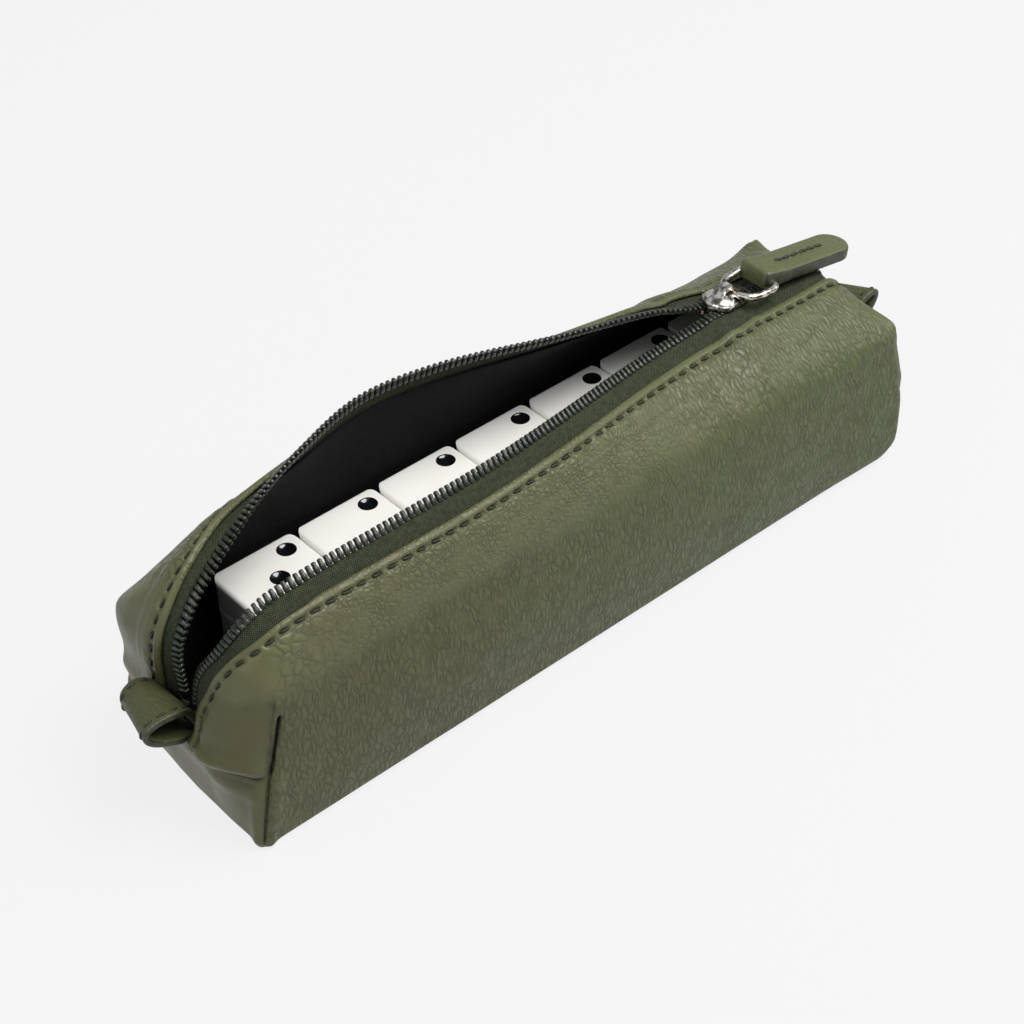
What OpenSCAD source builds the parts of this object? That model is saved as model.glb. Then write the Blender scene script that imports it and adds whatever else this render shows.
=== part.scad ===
// Soft leather zip case holding a double-six set of dominoes, drawn with the mouth open.
// Frame: origin at the middle of the bottom, +X towards the end where the slider is,
// +Y towards the back lip, +Z up. Millimetres.

/* [Dominoes] */
// Length of a domino, which lies across the case
tile_l = 48; // [44:0.5:52]
// Width of a domino, along the case
tile_w = 24; // [22:0.5:26]
// Thickness of a domino
tile_t = 8.2; // [7:0.1:9]
// Radius of a domino's corners, seen from above
tile_corner_r = 4; // [2:0.25:5]
// Radius of a domino's long edges
tile_edge_r = 1.2; // [0.6:0.1:1.8]
// Space between neighbours in a row
tile_gap = 0.3; // [0.1:0.05:0.6]
// Diameter of a pip
pip_d = 5; // [3.5:0.1:5.6]
// Depth of a pip
pip_depth = 1; // [0.4:0.1:1.4]
// Distance of a pip from the middle of its half
pip_step = 7; // [5.8:0.1:7.4]
// Width of the groove between the two halves
groove_w = 1.4; // [0.8:0.1:2]
// Depth of that groove
groove_depth = 0.6; // [0.3:0.1:1]
// How far a loose domino of the top layer can rise
tile_play = 5; // [2:0.5:5]

/* [Case] */
// Space beside the dominoes at each end of them
side_clear = 0.6; // [0.5:0.1:1.5]
// Empty length at the open end
near_space = 25; // [16:0.5:36]
// Empty length at the slider's end
far_space = 13.2; // [10:0.2:22]
// Height from the top layer to the fold of the walls
head_room = 7.9; // [7:0.1:12]
// Thickness of the leather
leather_t = 1.2; // [0.8:0.1:1.4]
// Thickness of the lining
lining_t = 0.5; // [0.3:0.1:0.8]
// Radius of the long bottom edges
bottom_r = 3; // [2.4:0.1:3.4]
// How far the walls swell at mid-length
belly = 1.8; // [0:0.1:4]
// Height of the seam across each end
end_seam_h = 21; // [17:0.5:25]
// How far the front corner at the open end leans in
corner_lean = 8; // [2:0.5:10]
// Softness of the upright corners
corner_soft = 3; // [1:0.5:4]
// Softness of the bottom at the slider's end
far_soft = 7; // [3:0.5:10]
// Bulge of the upright corners at the slider's end
far_bulge = 2.6; // [0:0.1:3]

/* [Mouth] */
// How far the back lip is drawn back where the mouth is widest
back_open = 18; // [10:0.5:19]
// Height of the back lip over the walls
back_rise = 24.6; // [18:0.2:27]
// How far the front lip is drawn forward
front_open = 15; // [8:0.5:17]
// Height of the front lip over the walls
front_rise = 18.5; // [14:0.2:22]
// Height of the closed zip over the walls, at the slider
crown = 10.3; // [9:0.1:12]
// Fall of the closed zip towards the slider's end, in degrees
zip_fall = 6; // [3:0.5:7]
// How far the closed zip lies behind the middle
zip_off = 0.8; // [0:0.1:2]

/* [Zip] */
// Width of one tape, from the leather's edge to where the teeth meet
tape_w = 6.8; // [6.2:0.1:7.6]
// Thickness of the tape
tape_t = 0.5; // [0.4:0.05:0.6]
// Distance between two teeth of one side
tooth_pitch = 1.6; // [1.5:0.05:2]
// Width of a tooth along the zip
tooth_w = 0.68; // [0.5:0.01:0.7]
// Thickness of a tooth
tooth_t = 1.7; // [1.4:0.1:1.9]
// Reach of a tooth's legs along the tape
tooth_leg = 2.9; // [2.5:0.1:3]
// How far a tooth's head passes the middle
tooth_hook = 0.45; // [0.3:0.05:0.6]

/* [Slider] */
// Length of the slider
slider_l = 11; // [9:0.5:12]
// Width of the slider at its nose
slider_w = 9; // [8.6:0.1:9.6]
// Thickness of each of the slider's plates
plate_t = 1; // [0.8:0.1:1.4]
// Space between a plate and the teeth
plate_clear = 0.35; // [0.2:0.05:0.6]
// How far the slider can still be drawn open
slider_run = 14; // [8:0.5:14]
// Diameter of the ring's wire
wire_d = 1.4; // [1.2:0.1:1.6]
// Outer width of the ring
ring_w = 14.2; // [14.2:0.1:15.5]
// Distance between the middles of the ring's two bars
ring_reach = 10; // [9:0.5:12]

/* [Pull tab and loops] */
// Length of the pull tab
tab_l = 30; // [24:1:38]
// Width of the pull tab
tab_w = 10; // [8:0.5:10]
// Thickness of the pull tab
tab_t = 3.8; // [3.6:0.1:4.4]
// Width of the loop at each end
loop_w = 16.5; // [12:0.5:18]
// How far each loop stands out
loop_reach = 13.5; // [12.5:0.5:16]
// Thickness of a loop's strap
loop_t = 1.5; // [1.2:0.1:1.8]
// Height of the gap through a loop
loop_gap = 5.4; // [5.2:0.1:6]

/* [Hidden] */
columns = 7;                                   // seven columns of four hold all 28
layers = 4;
fine = 48;                                     // facets asked of round pieces
lay = 0.05;                                    // air between stacked dominoes
lining_space = 0.2;                            // between leather and lining
floor_z = leather_t + lining_space + lining_t + 0.2;
row_l = columns * (tile_w + tile_gap) - tile_gap;
case_l = row_l + near_space + far_space;
case_w = tile_l + 2 * (side_clear + leather_t + lining_space + lining_t);
wall_h = floor_z + layers * (tile_t + lay) + head_room;
hl = case_l / 2;
hw = case_w / 2;
row_x0 = -hl + near_space;                     // where the row of dominoes starts
pip_r = (pow(pip_d / 2, 2) + pow(pip_depth, 2)) / (2 * pip_depth);

// ---- dominoes: [front half, back half], the top layer first ----
top_faces = [[1, 3], [0, 2], [4, 2], [2, 2], [6, 2], [5, 2], [1, 1]];
pair = function (t) [min(t), max(t)];
all_pairs = [for (a = [0:6]) for (b = [a:6]) [a, b]];
in_top = function (p) len([for (t = top_faces) if (pair(t) == p) 1]) > 0;
faces = concat(top_faces, [for (p = all_pairs) if (!in_top(p)) p]);
tile_names = [for (t = faces) str("domino_", pair(t)[0], "_", pair(t)[1])];

// ---- small helpers ----
function smooth(a, b, x) = let (t = min(1, max(0, (x - a) / (b - a)))) t * t * (3 - 2 * t);
function mix(a, b, t) = a + (b - a) * t;
function unit(v) = v / norm(v);
function steps(n) = [for (i = [0:n]) i / n];

// Smooth curve through uneven stations: each row is [station, values...]
function slope_at(rows, i) =
    let (a = max(0, i - 1), b = min(len(rows) - 1, i + 1))
    (tail(rows[b]) - tail(rows[a])) / (rows[b][0] - rows[a][0]);
function tail(row) = [for (i = [1:len(row) - 1]) row[i]];
function seg_of(rows, g, i = 0) =
    (i >= len(rows) - 2 || g <= rows[i + 1][0]) ? i : seg_of(rows, g, i + 1);
function curve(rows, g) =
    let (i = seg_of(rows, g), h = rows[i + 1][0] - rows[i][0], u = (g - rows[i][0]) / h)
    (2 * u^3 - 3 * u^2 + 1) * tail(rows[i]) + (u^3 - 2 * u^2 + u) * h * slope_at(rows, i)
    + (3 * u^2 - 2 * u^3) * tail(rows[i + 1]) + (u^3 - u^2) * h * slope_at(rows, i + 1);

// ---- the two lips: where the teeth of each side run ----
// Station g runs from -2, low on the open end, over -1 and 1, the upper corners, to 2.
// Rows: [g, x, y, z, tilt of the tape in degrees]
slider_x = 0.635 * hl;
recess = 2.5;                                  // the zip lies behind the end panels
end_up = wall_h - end_seam_h;
function closed_z(x) = wall_h + crown - tan(zip_fall) * (x - slider_x);
function closed_rows(half) = [
    [0.555, slider_x - 8.5, zip_off + half * 2.2, closed_z(slider_x - 8.5) + 0.2, 18],
    [0.59, slider_x - 4.5, zip_off + half * 1.75, closed_z(slider_x - 4.5), 18],
    [0.64, slider_x + 1.5, zip_off, closed_z(slider_x + 1.5), 18],
    [0.67, slider_x + 4, zip_off, closed_z(slider_x + 4), 18],
    [0.84, 0.85 * hl, zip_off, closed_z(0.85 * hl), 18],
    [0.88, 0.89 * hl, zip_off, closed_z(0.89 * hl), 18],
    [0.96, 0.95 * hl, zip_off, closed_z(0.95 * hl) - 1.2, 14],
    [1.08, hl - recess - 0.5, zip_off, wall_h, 5],
    [1.3, hl - recess, zip_off, end_seam_h + 0.7 * end_up, 0],
    [2, hl - recess, zip_off, end_seam_h, 0]];
front_rows = concat([
    [-2, -hl + recess, -1, end_seam_h, -20],
    [-1.6, -hl + recess + 0.5, -1.5, end_seam_h + 0.45 * end_up, -20],
    [-1.25, -hl + recess + 1.5, -0.27 * front_open, end_seam_h + 0.82 * end_up, -15],
    [-1, -0.942 * hl, -0.63 * front_open, wall_h + 0.24 * front_rise, 0],
    [-0.93, -0.904 * hl, -0.83 * front_open, wall_h + 0.62 * front_rise, 25],
    [-0.82, -0.822 * hl, -0.9 * front_open, wall_h + 0.865 * front_rise, 40],
    [-0.5, -0.5 * hl, -front_open, wall_h + front_rise, 47],
    [-0.2, -0.27 * hl, -0.97 * front_open, wall_h + front_rise, 47],
    [0, -0.058 * hl, -0.8 * front_open, wall_h + 0.95 * front_rise, 42],
    [0.3, 0.322 * hl, -0.29 * front_open, wall_h + 0.73 * front_rise, 30]], closed_rows(-1));
back_rows = concat([
    [-2, -hl + recess, 1, end_seam_h, -20],
    [-1.6, -hl + recess, 1, end_seam_h + 0.45 * end_up, -20],
    [-1.25, -hl + recess - 0.2, 0.8, end_seam_h + 0.86 * end_up, -15],
    [-1, -0.957 * hl, 0.2, wall_h + 0.18 * back_rise, -15],
    [-0.92, -0.904 * hl, 0.1 * back_open, wall_h + 0.41 * back_rise, -17],
    [-0.82, -0.81 * hl, 0.27 * back_open, wall_h + 0.62 * back_rise, 0],
    [-0.68, -0.683 * hl, 0.52 * back_open, wall_h + 0.805 * back_rise, 35],
    [-0.53, -0.54 * hl, 0.76 * back_open, wall_h + 0.93 * back_rise, 60],
    [-0.33, -0.342 * hl, back_open, wall_h + back_rise, 72],
    [-0.13, -0.13 * hl, 0.88 * back_open, wall_h + 0.97 * back_rise, 68],
    [0.18, 0.175 * hl, 0.51 * back_open, wall_h + 0.8 * back_rise, 48],
    [0.43, 0.44 * hl, 0.28 * back_open, wall_h + 0.62 * back_rise, 30]], closed_rows(1));
function rows_of(side) = side < 0 ? front_rows : back_rows;

// Outward direction of the case at a station: up on the top, out on the end faces
function turn(g) = 90 * smooth(0.85, 1.25, -g) - 90 * smooth(0.93, 1.15, g);
function outward(g) = [-sin(turn(g)), 0, cos(turn(g))];
// Direction of the tape from the leather's edge to the teeth, tilted by an angle
function tape_dir(side, g, tilt) = [0, -side * cos(tilt), 0] + outward(g) * sin(tilt);
function tape_up(side, g, tilt) = [0, side * sin(tilt), 0] + outward(g) * cos(tilt);
// The tape lies flat beside a closed zip, so that the slider's rims pass along it
flat_w = 4.2;
function inner_tilt(g, tilt) = tilt * (1 - smooth(0.5, 0.56, g) * (1 - smooth(0.9, 1, g)));
function meet(side, g) = let (c = curve(rows_of(side), g)) [c[0], c[1], c[2]];
function tilt_of(side, g) = curve(rows_of(side), g)[3];
function tape_mid(side, g) = meet(side, g) - flat_w * tape_dir(side, g, inner_tilt(g, tilt_of(side, g)));
function tape_edge(side, g) = tape_mid(side, g) - (tape_w - flat_w) * tape_dir(side, g, tilt_of(side, g));
// The leather's surface at its edge, sunk by depth d
edge_lift = leather_t + tape_t / 2 + 0.26;
function edge(side, g, d, past = 0) = let (t = tilt_of(side, g))
    tape_edge(side, g) + (edge_lift - d) * tape_up(side, g, t) + past * tape_dir(side, g, t);

// ---- the surface of the leather, sunk by depth d ----
corner_up = 3;                                 // rounding of the fold at the corners
mid_up = 5;                                    // what it gains at mid-length
function fold_r(g) = corner_up + mid_up * (1 - pow(min(1, abs(g)), 4));
function end_x(side, e, z, d) = e > 0
    ? hl - d - z / 40
    : -hl - 0.5 + d + (side < 0 ? corner_lean : 1) * z / 40;
function end_x_at(y, e, z, d) = mix(end_x(-1, e, z, d), end_x(1, e, z, d), (y / (hw - d) + 1) / 2);
function swell(g, z) = belly * (1 - pow(min(1, abs(g)), 4))
    * sin(180 * max(0, z - bottom_r) / (wall_h - bottom_r));
function wall(side, g, z, d) =
    [mix(end_x(side, -1, z, d), end_x(side, 1, z, d), (g + 1) / 2), side * (hw + swell(g, z) - d), z];
function fold(side, g, d) = abs(g) <= 1
    ? wall(side, g, wall_h - fold_r(g), d)
    : let (z = mix(wall_h - corner_up, end_seam_h, abs(g) - 1))
      [end_x(side, sign(g), z, d), side * (hw - d), z];
function band(side, g, v, d, d_edge, past = 0) =
    let (p0 = fold(side, g, d), e = edge(side, g, d_edge, past),
         w = smooth(1, 1.12, abs(g)),
         start = (1 - w) * [0, 0, 1.35 * fold_r(g)] + w * [3.3 * sign(g), -6 * side, 0],
         p1 = p0 + start, p2 = e - 7 * tape_dir(side, g, tilt_of(side, g)))
    (1 - v)^3 * p0 + 3 * (1 - v)^2 * v * p1 + 3 * (1 - v) * v^2 * p2 + v^3 * e;

// Stations along the case, closer where the lips bend, and down the end flaps
top_g = [-1, -0.97, -0.94, -0.91, -0.875, -0.84, -0.79, -0.73, -0.66, -0.58, -0.49, -0.4, -0.3, -0.2, -0.09,
    0.03, 0.15, 0.27, 0.38, 0.46, 0.52, 0.56, 0.6, 0.64, 0.74, 0.83, 0.88, 0.92, 0.96, 1];
flap_t = [0, 0.08, 0.17, 0.3, 0.6, 1];
flap_n = len(flap_t) - 1;
full_g = concat([for (i = [flap_n:-1:1]) -1 - flap_t[i]], top_g, [for (i = [1:flap_n]) 1 + flap_t[i]]);

band_n = 7;
arc_n = 3;
// Bottom columns of one side, from the wall's foot (c = 0) to the lip's shadow (c = 1)
function foot(side, c, d, y_in) = let (j = c * band_n)
    j <= arc_n
    ? let (a = 90 * j / arc_n, r = max(0.2, bottom_r - d))
      [side * (hw - bottom_r + r * cos(a) + (bottom_r - d - r)), bottom_r - r * sin(a) - (bottom_r - d - r)]
    : [mix(side * (hw - bottom_r), y_in, (j - arc_n) / (band_n - arc_n)), d];
function bottom_point(side, g, c, d, y_in) =
    let (f = foot(side, c, d, y_in), z = abs(g) < 1 ? f[1] : max(f[1], min(bottom_r, d + 1.2)))
    [mix(end_x_at(f[0], -1, f[1], d), end_x_at(f[0], 1, f[1], d), (g + 1) / 2), f[0], z];
// The bottom with its two end flaps, over the stations of full_g
function low_point(side, g, c, d, d_edge, past) =
    let (e = sign(g), y_in = edge(side, 2 * (e == 0 ? 1 : e), d_edge, past)[1])
    abs(g) <= 1 ? bottom_point(side, g, c, d, mix(edge(side, -2, d_edge, past)[1],
        edge(side, 2, d_edge, past)[1], (g + 1) / 2))
    : let (k = abs(g) - 1, base = bottom_point(side, e, c, d, y_in),
           top = band(side, 2 * e, c, d, d_edge, past))
      mix(base, top, k);
function middle_low(g, d, d_edge, past) =
    (low_point(-1, g, 1, d, d_edge, past) + low_point(1, g, 1, d, d_edge, past)) / 2;

// The five strips of the case: two bands, two walls and the bottom, as grids of points
function strips(d, d_edge, past = 0) = [
    [for (g = full_g) [for (v = steps(band_n)) band(-1, g, 1 - v, d, d_edge, past)]],
    [for (g = top_g) wall_column(-1, g, d, false)],
    [for (g = full_g) concat(
        [for (c = steps(band_n)) low_point(-1, g, c, d, d_edge, past)],
        [middle_low(g, d, d_edge, past)],
        [for (c = steps(band_n)) low_point(1, g, 1 - c, d, d_edge, past)])],
    [for (g = top_g) wall_column(1, g, d, true)],
    [for (g = full_g) [for (v = steps(band_n)) band(1, g, v, d, d_edge, past)]]];
function wall_column(side, g, d, rising) =
    let (low = [for (t = flap_t) mix(bottom_r, end_seam_h, t)],
         high = [for (i = [1:flap_n]) mix(end_seam_h, wall_h - fold_r(g), 1 - flap_t[flap_n - i])],
         zs = concat(low, high), m = len(zs) - 1)
    [for (i = [0:m]) wall(side, g, zs[rising ? i : m - i], d)];

// Triangles of a grid of points, and of the strip that joins two equal lines
function net(grid) = [for (i = [0:len(grid) - 2]) for (j = [0:len(grid[0]) - 2])
    each [[grid[i][j], grid[i + 1][j], grid[i + 1][j + 1]],
          [grid[i][j], grid[i + 1][j + 1], grid[i][j + 1]]]];
function flip(tris) = [for (t = tris) [t[0], t[2], t[1]]];
function column(grid, j) = [for (row = grid) row[j]];
function last(list) = list[len(list) - 1];
// Brings points that should meet to exactly the same place
function snap(p) = [for (c = p) floor(c * 4096 + 0.37) / 4096];
module solid_of(tris) {
    polyhedron(points = [for (t = tris) for (p = t) snap(p)],
        faces = [for (k = [0:len(tris) - 1]) [3 * k, 3 * k + 1, 3 * k + 2]]);
}
// A skin between an outer and an inner set of strips, closed round the mouth
function mouth_ring(s) = concat(column(s[0], 0), mid_part(last(s[2])), rev(column(s[4], band_n)),
    rev(mid_part(s[2][0])), [s[0][0][0]]);
function mid_part(row) = [for (j = [band_n:band_n + 2]) row[j]];
function rev(list) = [for (i = [len(list) - 1:-1:0]) list[i]];
module skin(outer, inner) {
    ring_out = mouth_ring(outer);
    ring_in = mouth_ring(inner);
    tris = concat([for (s = outer) each net(s)], [for (s = inner) each flip(net(s))],
        drop_flat(net([ring_out, ring_in])));
    solid_of([for (t = tris) [for (p = t) soften(p)]]);
}
// Softens the corners at both ends, keeping the thickness: the upright ones are rounded,
// then the bottom edge, and the one at the slider's end bulges a little below the fold
function rounder(a, b) = a <= 0 || b <= 0 ? 0
    : (max(a, b) / norm([a, b]) - 1) * smooth(0, 0.3, min(a, b));
function soften(p) =
    let (e = sign(p[0]), s = sign(p[1]), r = e < 0 ? corner_soft : far_soft, x0 = end_x_at(p[1], e, p[2], 0),
         u = 1 - e * (x0 - p[0]) / corner_soft, w = 1 - (hw - abs(p[1])) / corner_soft,
         f = rounder(u, w) * (1 - smooth(wall_h - 3, wall_h + 4, p[2])),
         x1 = p[0] + e * corner_soft * u * f, y1 = p[1] + s * corner_soft * w * f,
         a = 1 - e * (x0 - x1) / r, c = 1 - p[2] / r, k = rounder(a, c),
         far = far_bulge * sin(180 * min(1, (p[2] + 6) / 42)) * smooth(12, hw, abs(y1))
             * smooth(hl - 30, hl, x1))
    [x1 + e * r * a * k + far, y1 + 0.6 * s * far, p[2] - r * c * k];
function drop_flat(tris) = [for (t = tris) if (norm(cross(t[1] - t[0], t[2] - t[0])) > 1e-9) t];

// ---- sub-parts of the case ----
// One piece of leather: front, bottom, back and both end faces, open along the mouth
module leather_body() {
    color("#5d5f40") skin(strips(0, 0), strips(leather_t, leather_t));
}
// Black cloth bag inside, sewn to the underside of the tapes
module lining() {
    out = leather_t + lining_space;
    under = leather_t + tape_t + 0.46;
    color("#15151a") skin(strips(out, under, 0.6), strips(out + lining_t, under + lining_t, 0.6));
}

// ---- the zip ----
// Middle of a tape: under the leather, along its edge, flat beside the teeth
tape_in = 2.1;                                 // where the tape ends short of the middle
function tape_row(side, g, up) =
    let (h = up * tape_t / 2, t = tilt_of(side, g), ti = inner_tilt(g, t))
    [band(side, g, 1 - 1 / band_n, edge_lift - h, edge_lift - h), edge(side, g, edge_lift - h),
     tape_mid(side, g) + h * tape_up(side, g, (t + ti) / 2),
     meet(side, g) - tape_in * tape_dir(side, g, ti) + h * tape_up(side, g, ti)];
module tape(side) {
    gs = [for (i = [0:len(full_g) - 1]) each abs(full_g[i]) < 0.7
        ? [full_g[i], (full_g[i] + full_g[i + 1]) / 2] : [full_g[i]]];
    top = [for (g = gs) tape_row(side, g, 1)];
    under = [for (g = gs) tape_row(side, g, -1)];
    rim = [for (i = [0:len(gs) - 1]) [last(top[i]), last(under[i])]];
    back = [for (i = [0:len(gs) - 1]) [under[i][0], top[i][0]]];
    tris = concat(net(top), flip(net(under)), net(rim), net(back),
        flip(net([top[0], under[0]])), net([last(top), last(under)]));
    solid_of(side > 0 ? tris : flip(tris));
}
module tape_front() color("#4b5138") tape(-1);
module tape_back() color("#4b5138") tape(1);

// Length along the line of the teeth, as pairs [length, station]
walk_n = 260;
teeth_end = 1.79;                              // stations where the teeth and the stops end them
stop_g = 1.89;
walk_g = [for (t = steps(walk_n)) mix(-teeth_end, teeth_end, t)];
function walk(side) = let (p = [for (g = walk_g) meet(side, g)])
    [for (i = 0, s = 0; i <= walk_n; s = s + (i < walk_n ? norm(p[i + 1] - p[i]) : 0), i = i + 1)
        [s, walk_g[i]]];
meet_g = 0.64;                                 // the station where the two sides meet
walk_front = walk(-1);
walk_back = walk(1);
function by_g(w) = [for (r = w) [r[1], r[0]]];
// Stations of the teeth: dir -1 from the slider to the open end, +1 to the slider's end
function tooth_stations(side, dir) =
    let (w = side < 0 ? walk_front : walk_back, s0 = lookup(meet_g, by_g(w)),
         phase = side < 0 ? 0.25 : 0.75, room = dir < 0 ? s0 : last(w)[0] - s0,
         n = floor(room / tooth_pitch - phase))
    [for (k = [0:n - 1]) lookup(s0 + dir * (k + (dir < 0 ? 1 - phase : phase)) * tooth_pitch, w)];
// Places children at a station: X along the tape to the middle, Y out of it, Z along the zip
function tape_line(side, g) = meet(side, g) - 2.4 * tape_dir(side, g, inner_tilt(g, tilt_of(side, g)));
module on_zip(side, g) {
    o = meet(side, g);
    d = tape_dir(side, g, inner_tilt(g, tilt_of(side, g)));
    a = tape_line(side, g + 0.004) - tape_line(side, g - 0.004);
    along = unit(a - (a * d) * d);
    n = cross(along, d);
    multmatrix([[d[0], n[0], along[0], o[0]], [d[1], n[1], along[1], o[1]], [d[2], n[2], along[2], o[2]]])
        children();
}
// A tooth grips the tape's edge with two legs and hooks past the middle
tooth_root = 1.9;
module tooth() {
    h = tooth_t / 2;
    slot = tape_t / 2 + 0.16;
    translate([0, 0, -tooth_w / 2]) linear_extrude(tooth_w)
        polygon([[-tooth_leg, h], [0, h], [tooth_hook, h / 2], [tooth_hook, -h / 2], [0, -h],
            [-tooth_leg, -h], [-tooth_leg, -slot], [-tooth_root, -slot], [-tooth_root, slot],
            [-tooth_leg, slot]]);
}
part_g = 0.588;                                // the station where the slider's wedge parts them
module teeth(side, dir, from = -2, to = 2)
    for (g = tooth_stations(side, dir)) if (g >= from && g < to) on_zip(side, g) tooth();
module teeth_front() color("#2c2f27") teeth(-1, -1, to = part_g);
module teeth_back() color("#2c2f27") teeth(1, -1, to = part_g);
// The stretch from the slider's wedge on, where the two sides close and interlock
module teeth_closed() color("#2c2f27") for (side = [-1, 1]) {
    teeth(side, -1, from = part_g);
    teeth(side, 1);
}
// Clips that end the two sides at the open end, and the box that joins them at the other
stop_l = 3;
module clip() translate([-tooth_leg, 0, -stop_l / 2]) linear_extrude(stop_l) difference() {
    translate([0, -tooth_t / 2]) square([tooth_leg - 0.4, tooth_t]);
    translate([-1, -tape_t / 2 - 0.16]) square([1 + tooth_leg - tooth_root, tape_t + 0.32]);
}
module top_stops() color("#6d6a5e") for (side = [-1, 1]) on_zip(side, -stop_g) clip();
module bottom_stop() color("#6d6a5e") on_zip(-1, stop_g)
    translate([0, 0, -stop_l / 2]) linear_extrude(stop_l) difference() {
        square([2 * tooth_leg, tooth_t], center = true);
        for (m = [-1, 1]) translate([m * (tooth_root + 2), 0]) square([4, tape_t + 0.32], center = true);
    }

// ---- slider, ring and pull tab ----
slider_z = closed_z(slider_x);
plate_z = tooth_t / 2 + plate_clear;
rim_in = tooth_leg + 0.25;                     // rims run along the teeth's legs
rim_out = rim_in + 0.8;
tail_w = 2 * rim_out;
nose_x = -slider_l / 2;
bar_at = [1.2, plate_z + plate_t + 0.25 + wire_d / 2];
arch_r = bar_at[1] - plate_z - plate_t + wire_d / 2 + 0.7;
arch_t = 1.1;
module at_slider() translate([slider_x, zip_off, slider_z]) rotate([0, zip_fall, 0]) children();
module plate_outline() difference() {
    polygon([[nose_x, -slider_w / 2 + 2], [nose_x + 1.8, -slider_w / 2], [nose_x + 4, -slider_w / 2],
        [slider_l / 2 - 1, -tail_w / 2], [slider_l / 2, -tail_w / 2 + 1], [slider_l / 2, tail_w / 2 - 1],
        [slider_l / 2 - 1, tail_w / 2], [nose_x + 4, slider_w / 2], [nose_x + 1.8, slider_w / 2],
        [nose_x, slider_w / 2 - 2]]);
    for (m = [-1, 1]) translate([nose_x - 1.1, m * (slider_w / 2 - 2.5)]) circle(1.5, $fn = fine);
}
// Two plates joined by the wedge that parts the teeth, with rims that close them again
module slider_body() color("#b9b4a8") at_slider() {
    for (m = [-1, 1]) {
        translate([0, 0, m > 0 ? plate_z : -plate_z - plate_t]) linear_extrude(plate_t) plate_outline();
        for (n = [-1, 1])
            translate([1.4, n > 0 ? rim_in : -rim_out, m > 0 ? tape_t / 2 + 0.4 : -plate_z - 0.1])
            cube([slider_l / 2 - 2.4, rim_out - rim_in, plate_z - tape_t / 2 - 0.3]);
    }
    translate([0, 0, -plate_z - 0.1]) linear_extrude(2 * plate_z + 0.2)
        polygon([[nose_x + 0.3, -0.9], [nose_x + 1.2, -0.9], [nose_x + 3, -0.2], [nose_x + 3, 0.2],
            [nose_x + 1.2, 0.9], [nose_x + 0.3, 0.9]]);
    bridge();
}
// Arch over the top plate that holds the ring
module bridge() translate([0, 0, plate_z + plate_t - 0.01]) rotate([90, 0, 0])
    translate([0, 0, -1.5]) linear_extrude(3) intersection() {
        difference() {
            circle(arch_r + arch_t, $fn = fine);
            circle(arch_r, $fn = fine);
        }
        translate([-10, 0]) square(20);
    }
// Middle of the ring's bar in the slider, and of the bar that carries the tab
bar_x = slider_x + bar_at[0] * cos(zip_fall) + bar_at[1] * sin(zip_fall);
bar_z = slider_z - bar_at[0] * sin(zip_fall) + bar_at[1] * cos(zip_fall);
tab_x = bar_x + ring_reach;
ring_bends = [3.4, 1.3];                       // wide bends at the slider, tight ones at the tab
ring_half = (ring_w - wire_d) / 2;
// A loop of round wire: straight bars with quarter bends
module pull_ring() color("#b9b4a8") translate([bar_x + ring_reach / 2, zip_off, bar_z]) {
    for (m = [-1, 1]) {
        bend = ring_bends[m < 0 ? 0 : 1];
        translate([m * ring_reach / 2, 0, 0]) rotate([90, 0, 0])
            cylinder(d = wire_d, h = 2 * (ring_half - bend), center = true, $fn = fine);
        translate([(ring_bends[0] - ring_bends[1]) / 2, m * ring_half, 0]) rotate([0, 90, 0])
            cylinder(d = wire_d, h = ring_reach - ring_bends[0] - ring_bends[1], center = true, $fn = fine);
        for (n = [-1, 1]) translate([m * (ring_reach / 2 - bend), n * (ring_half - bend), 0])
            rotate([0, 0, m > 0 ? (n > 0 ? 0 : 270) : (n > 0 ? 90 : 180)])
                rotate_extrude(angle = 90, $fn = fine) translate([bend, 0]) circle(d = wire_d, $fn = fine);
    }
}
// Folded strap round the ring's outer bar, glued and stitched flat, with a round tip
tab_fall = 8;
tab_back = 2.4;                                // from the bar to the folded end
module pull_tab() color("#5d5f40") translate([tab_x, zip_off, bar_z]) rotate([0, tab_fall, 0]) difference() {
    translate([0, 0, -tab_t / 2]) linear_extrude(tab_t) {
        translate([-tab_back, -tab_w / 2]) square([tab_l - tab_w / 2, tab_w]);
        translate([tab_l - tab_w / 2 - tab_back, 0]) circle(d = tab_w, $fn = fine);
    }
    rotate([90, 0, 0]) cylinder(d = wire_d + 0.2, h = tab_w + 2, center = true, $fn = fine);
}

// ---- the loops sewn into the end seams ----
loop_h = loop_gap + 2 * loop_t;
neck_l = 3.6;
loop_up = loop_h / 2 + 1.8;                    // from the seam to the middle of the gap
// Drawn for the open end: a strap bent round a gap, with its two ends held in the seam
module end_loop() translate([0, zip_off, end_seam_h]) rotate([90, 0, 0]) {
    translate([0, 0, -loop_w / 2]) linear_extrude(loop_w)
        translate([-loop_reach + loop_h / 2, loop_up]) difference() {
            stadium(loop_h / 2);
            stadium(loop_gap / 2);
        }
    c = [-neck_l - loop_h / 2, loop_up];
    r = (loop_gap + loop_t) / 2;
    translate([0, 0, -loop_w / 2 + 2]) linear_extrude(loop_w - 4)
        polygon([[0, 0.3], [0, 0.3 + 2 * loop_t], c + r * [cos(15), -sin(15)],
            c + r * [cos(65), -sin(65)], [-1.2, 0.3]]);
}
module stadium(r) {
    span = loop_reach - neck_l - loop_h;
    translate([0, -r]) square([span, 2 * r]);
    for (x = [0, span]) translate([x, 0]) circle(r, $fn = fine);
}
module loop_near() color("#5d5f40") translate([-hl - 0.3, 0, 0]) end_loop();
module loop_far() color("#5d5f40") translate([hl - 1.4, 0, 0]) mirror([1, 0, 0]) end_loop();

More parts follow.
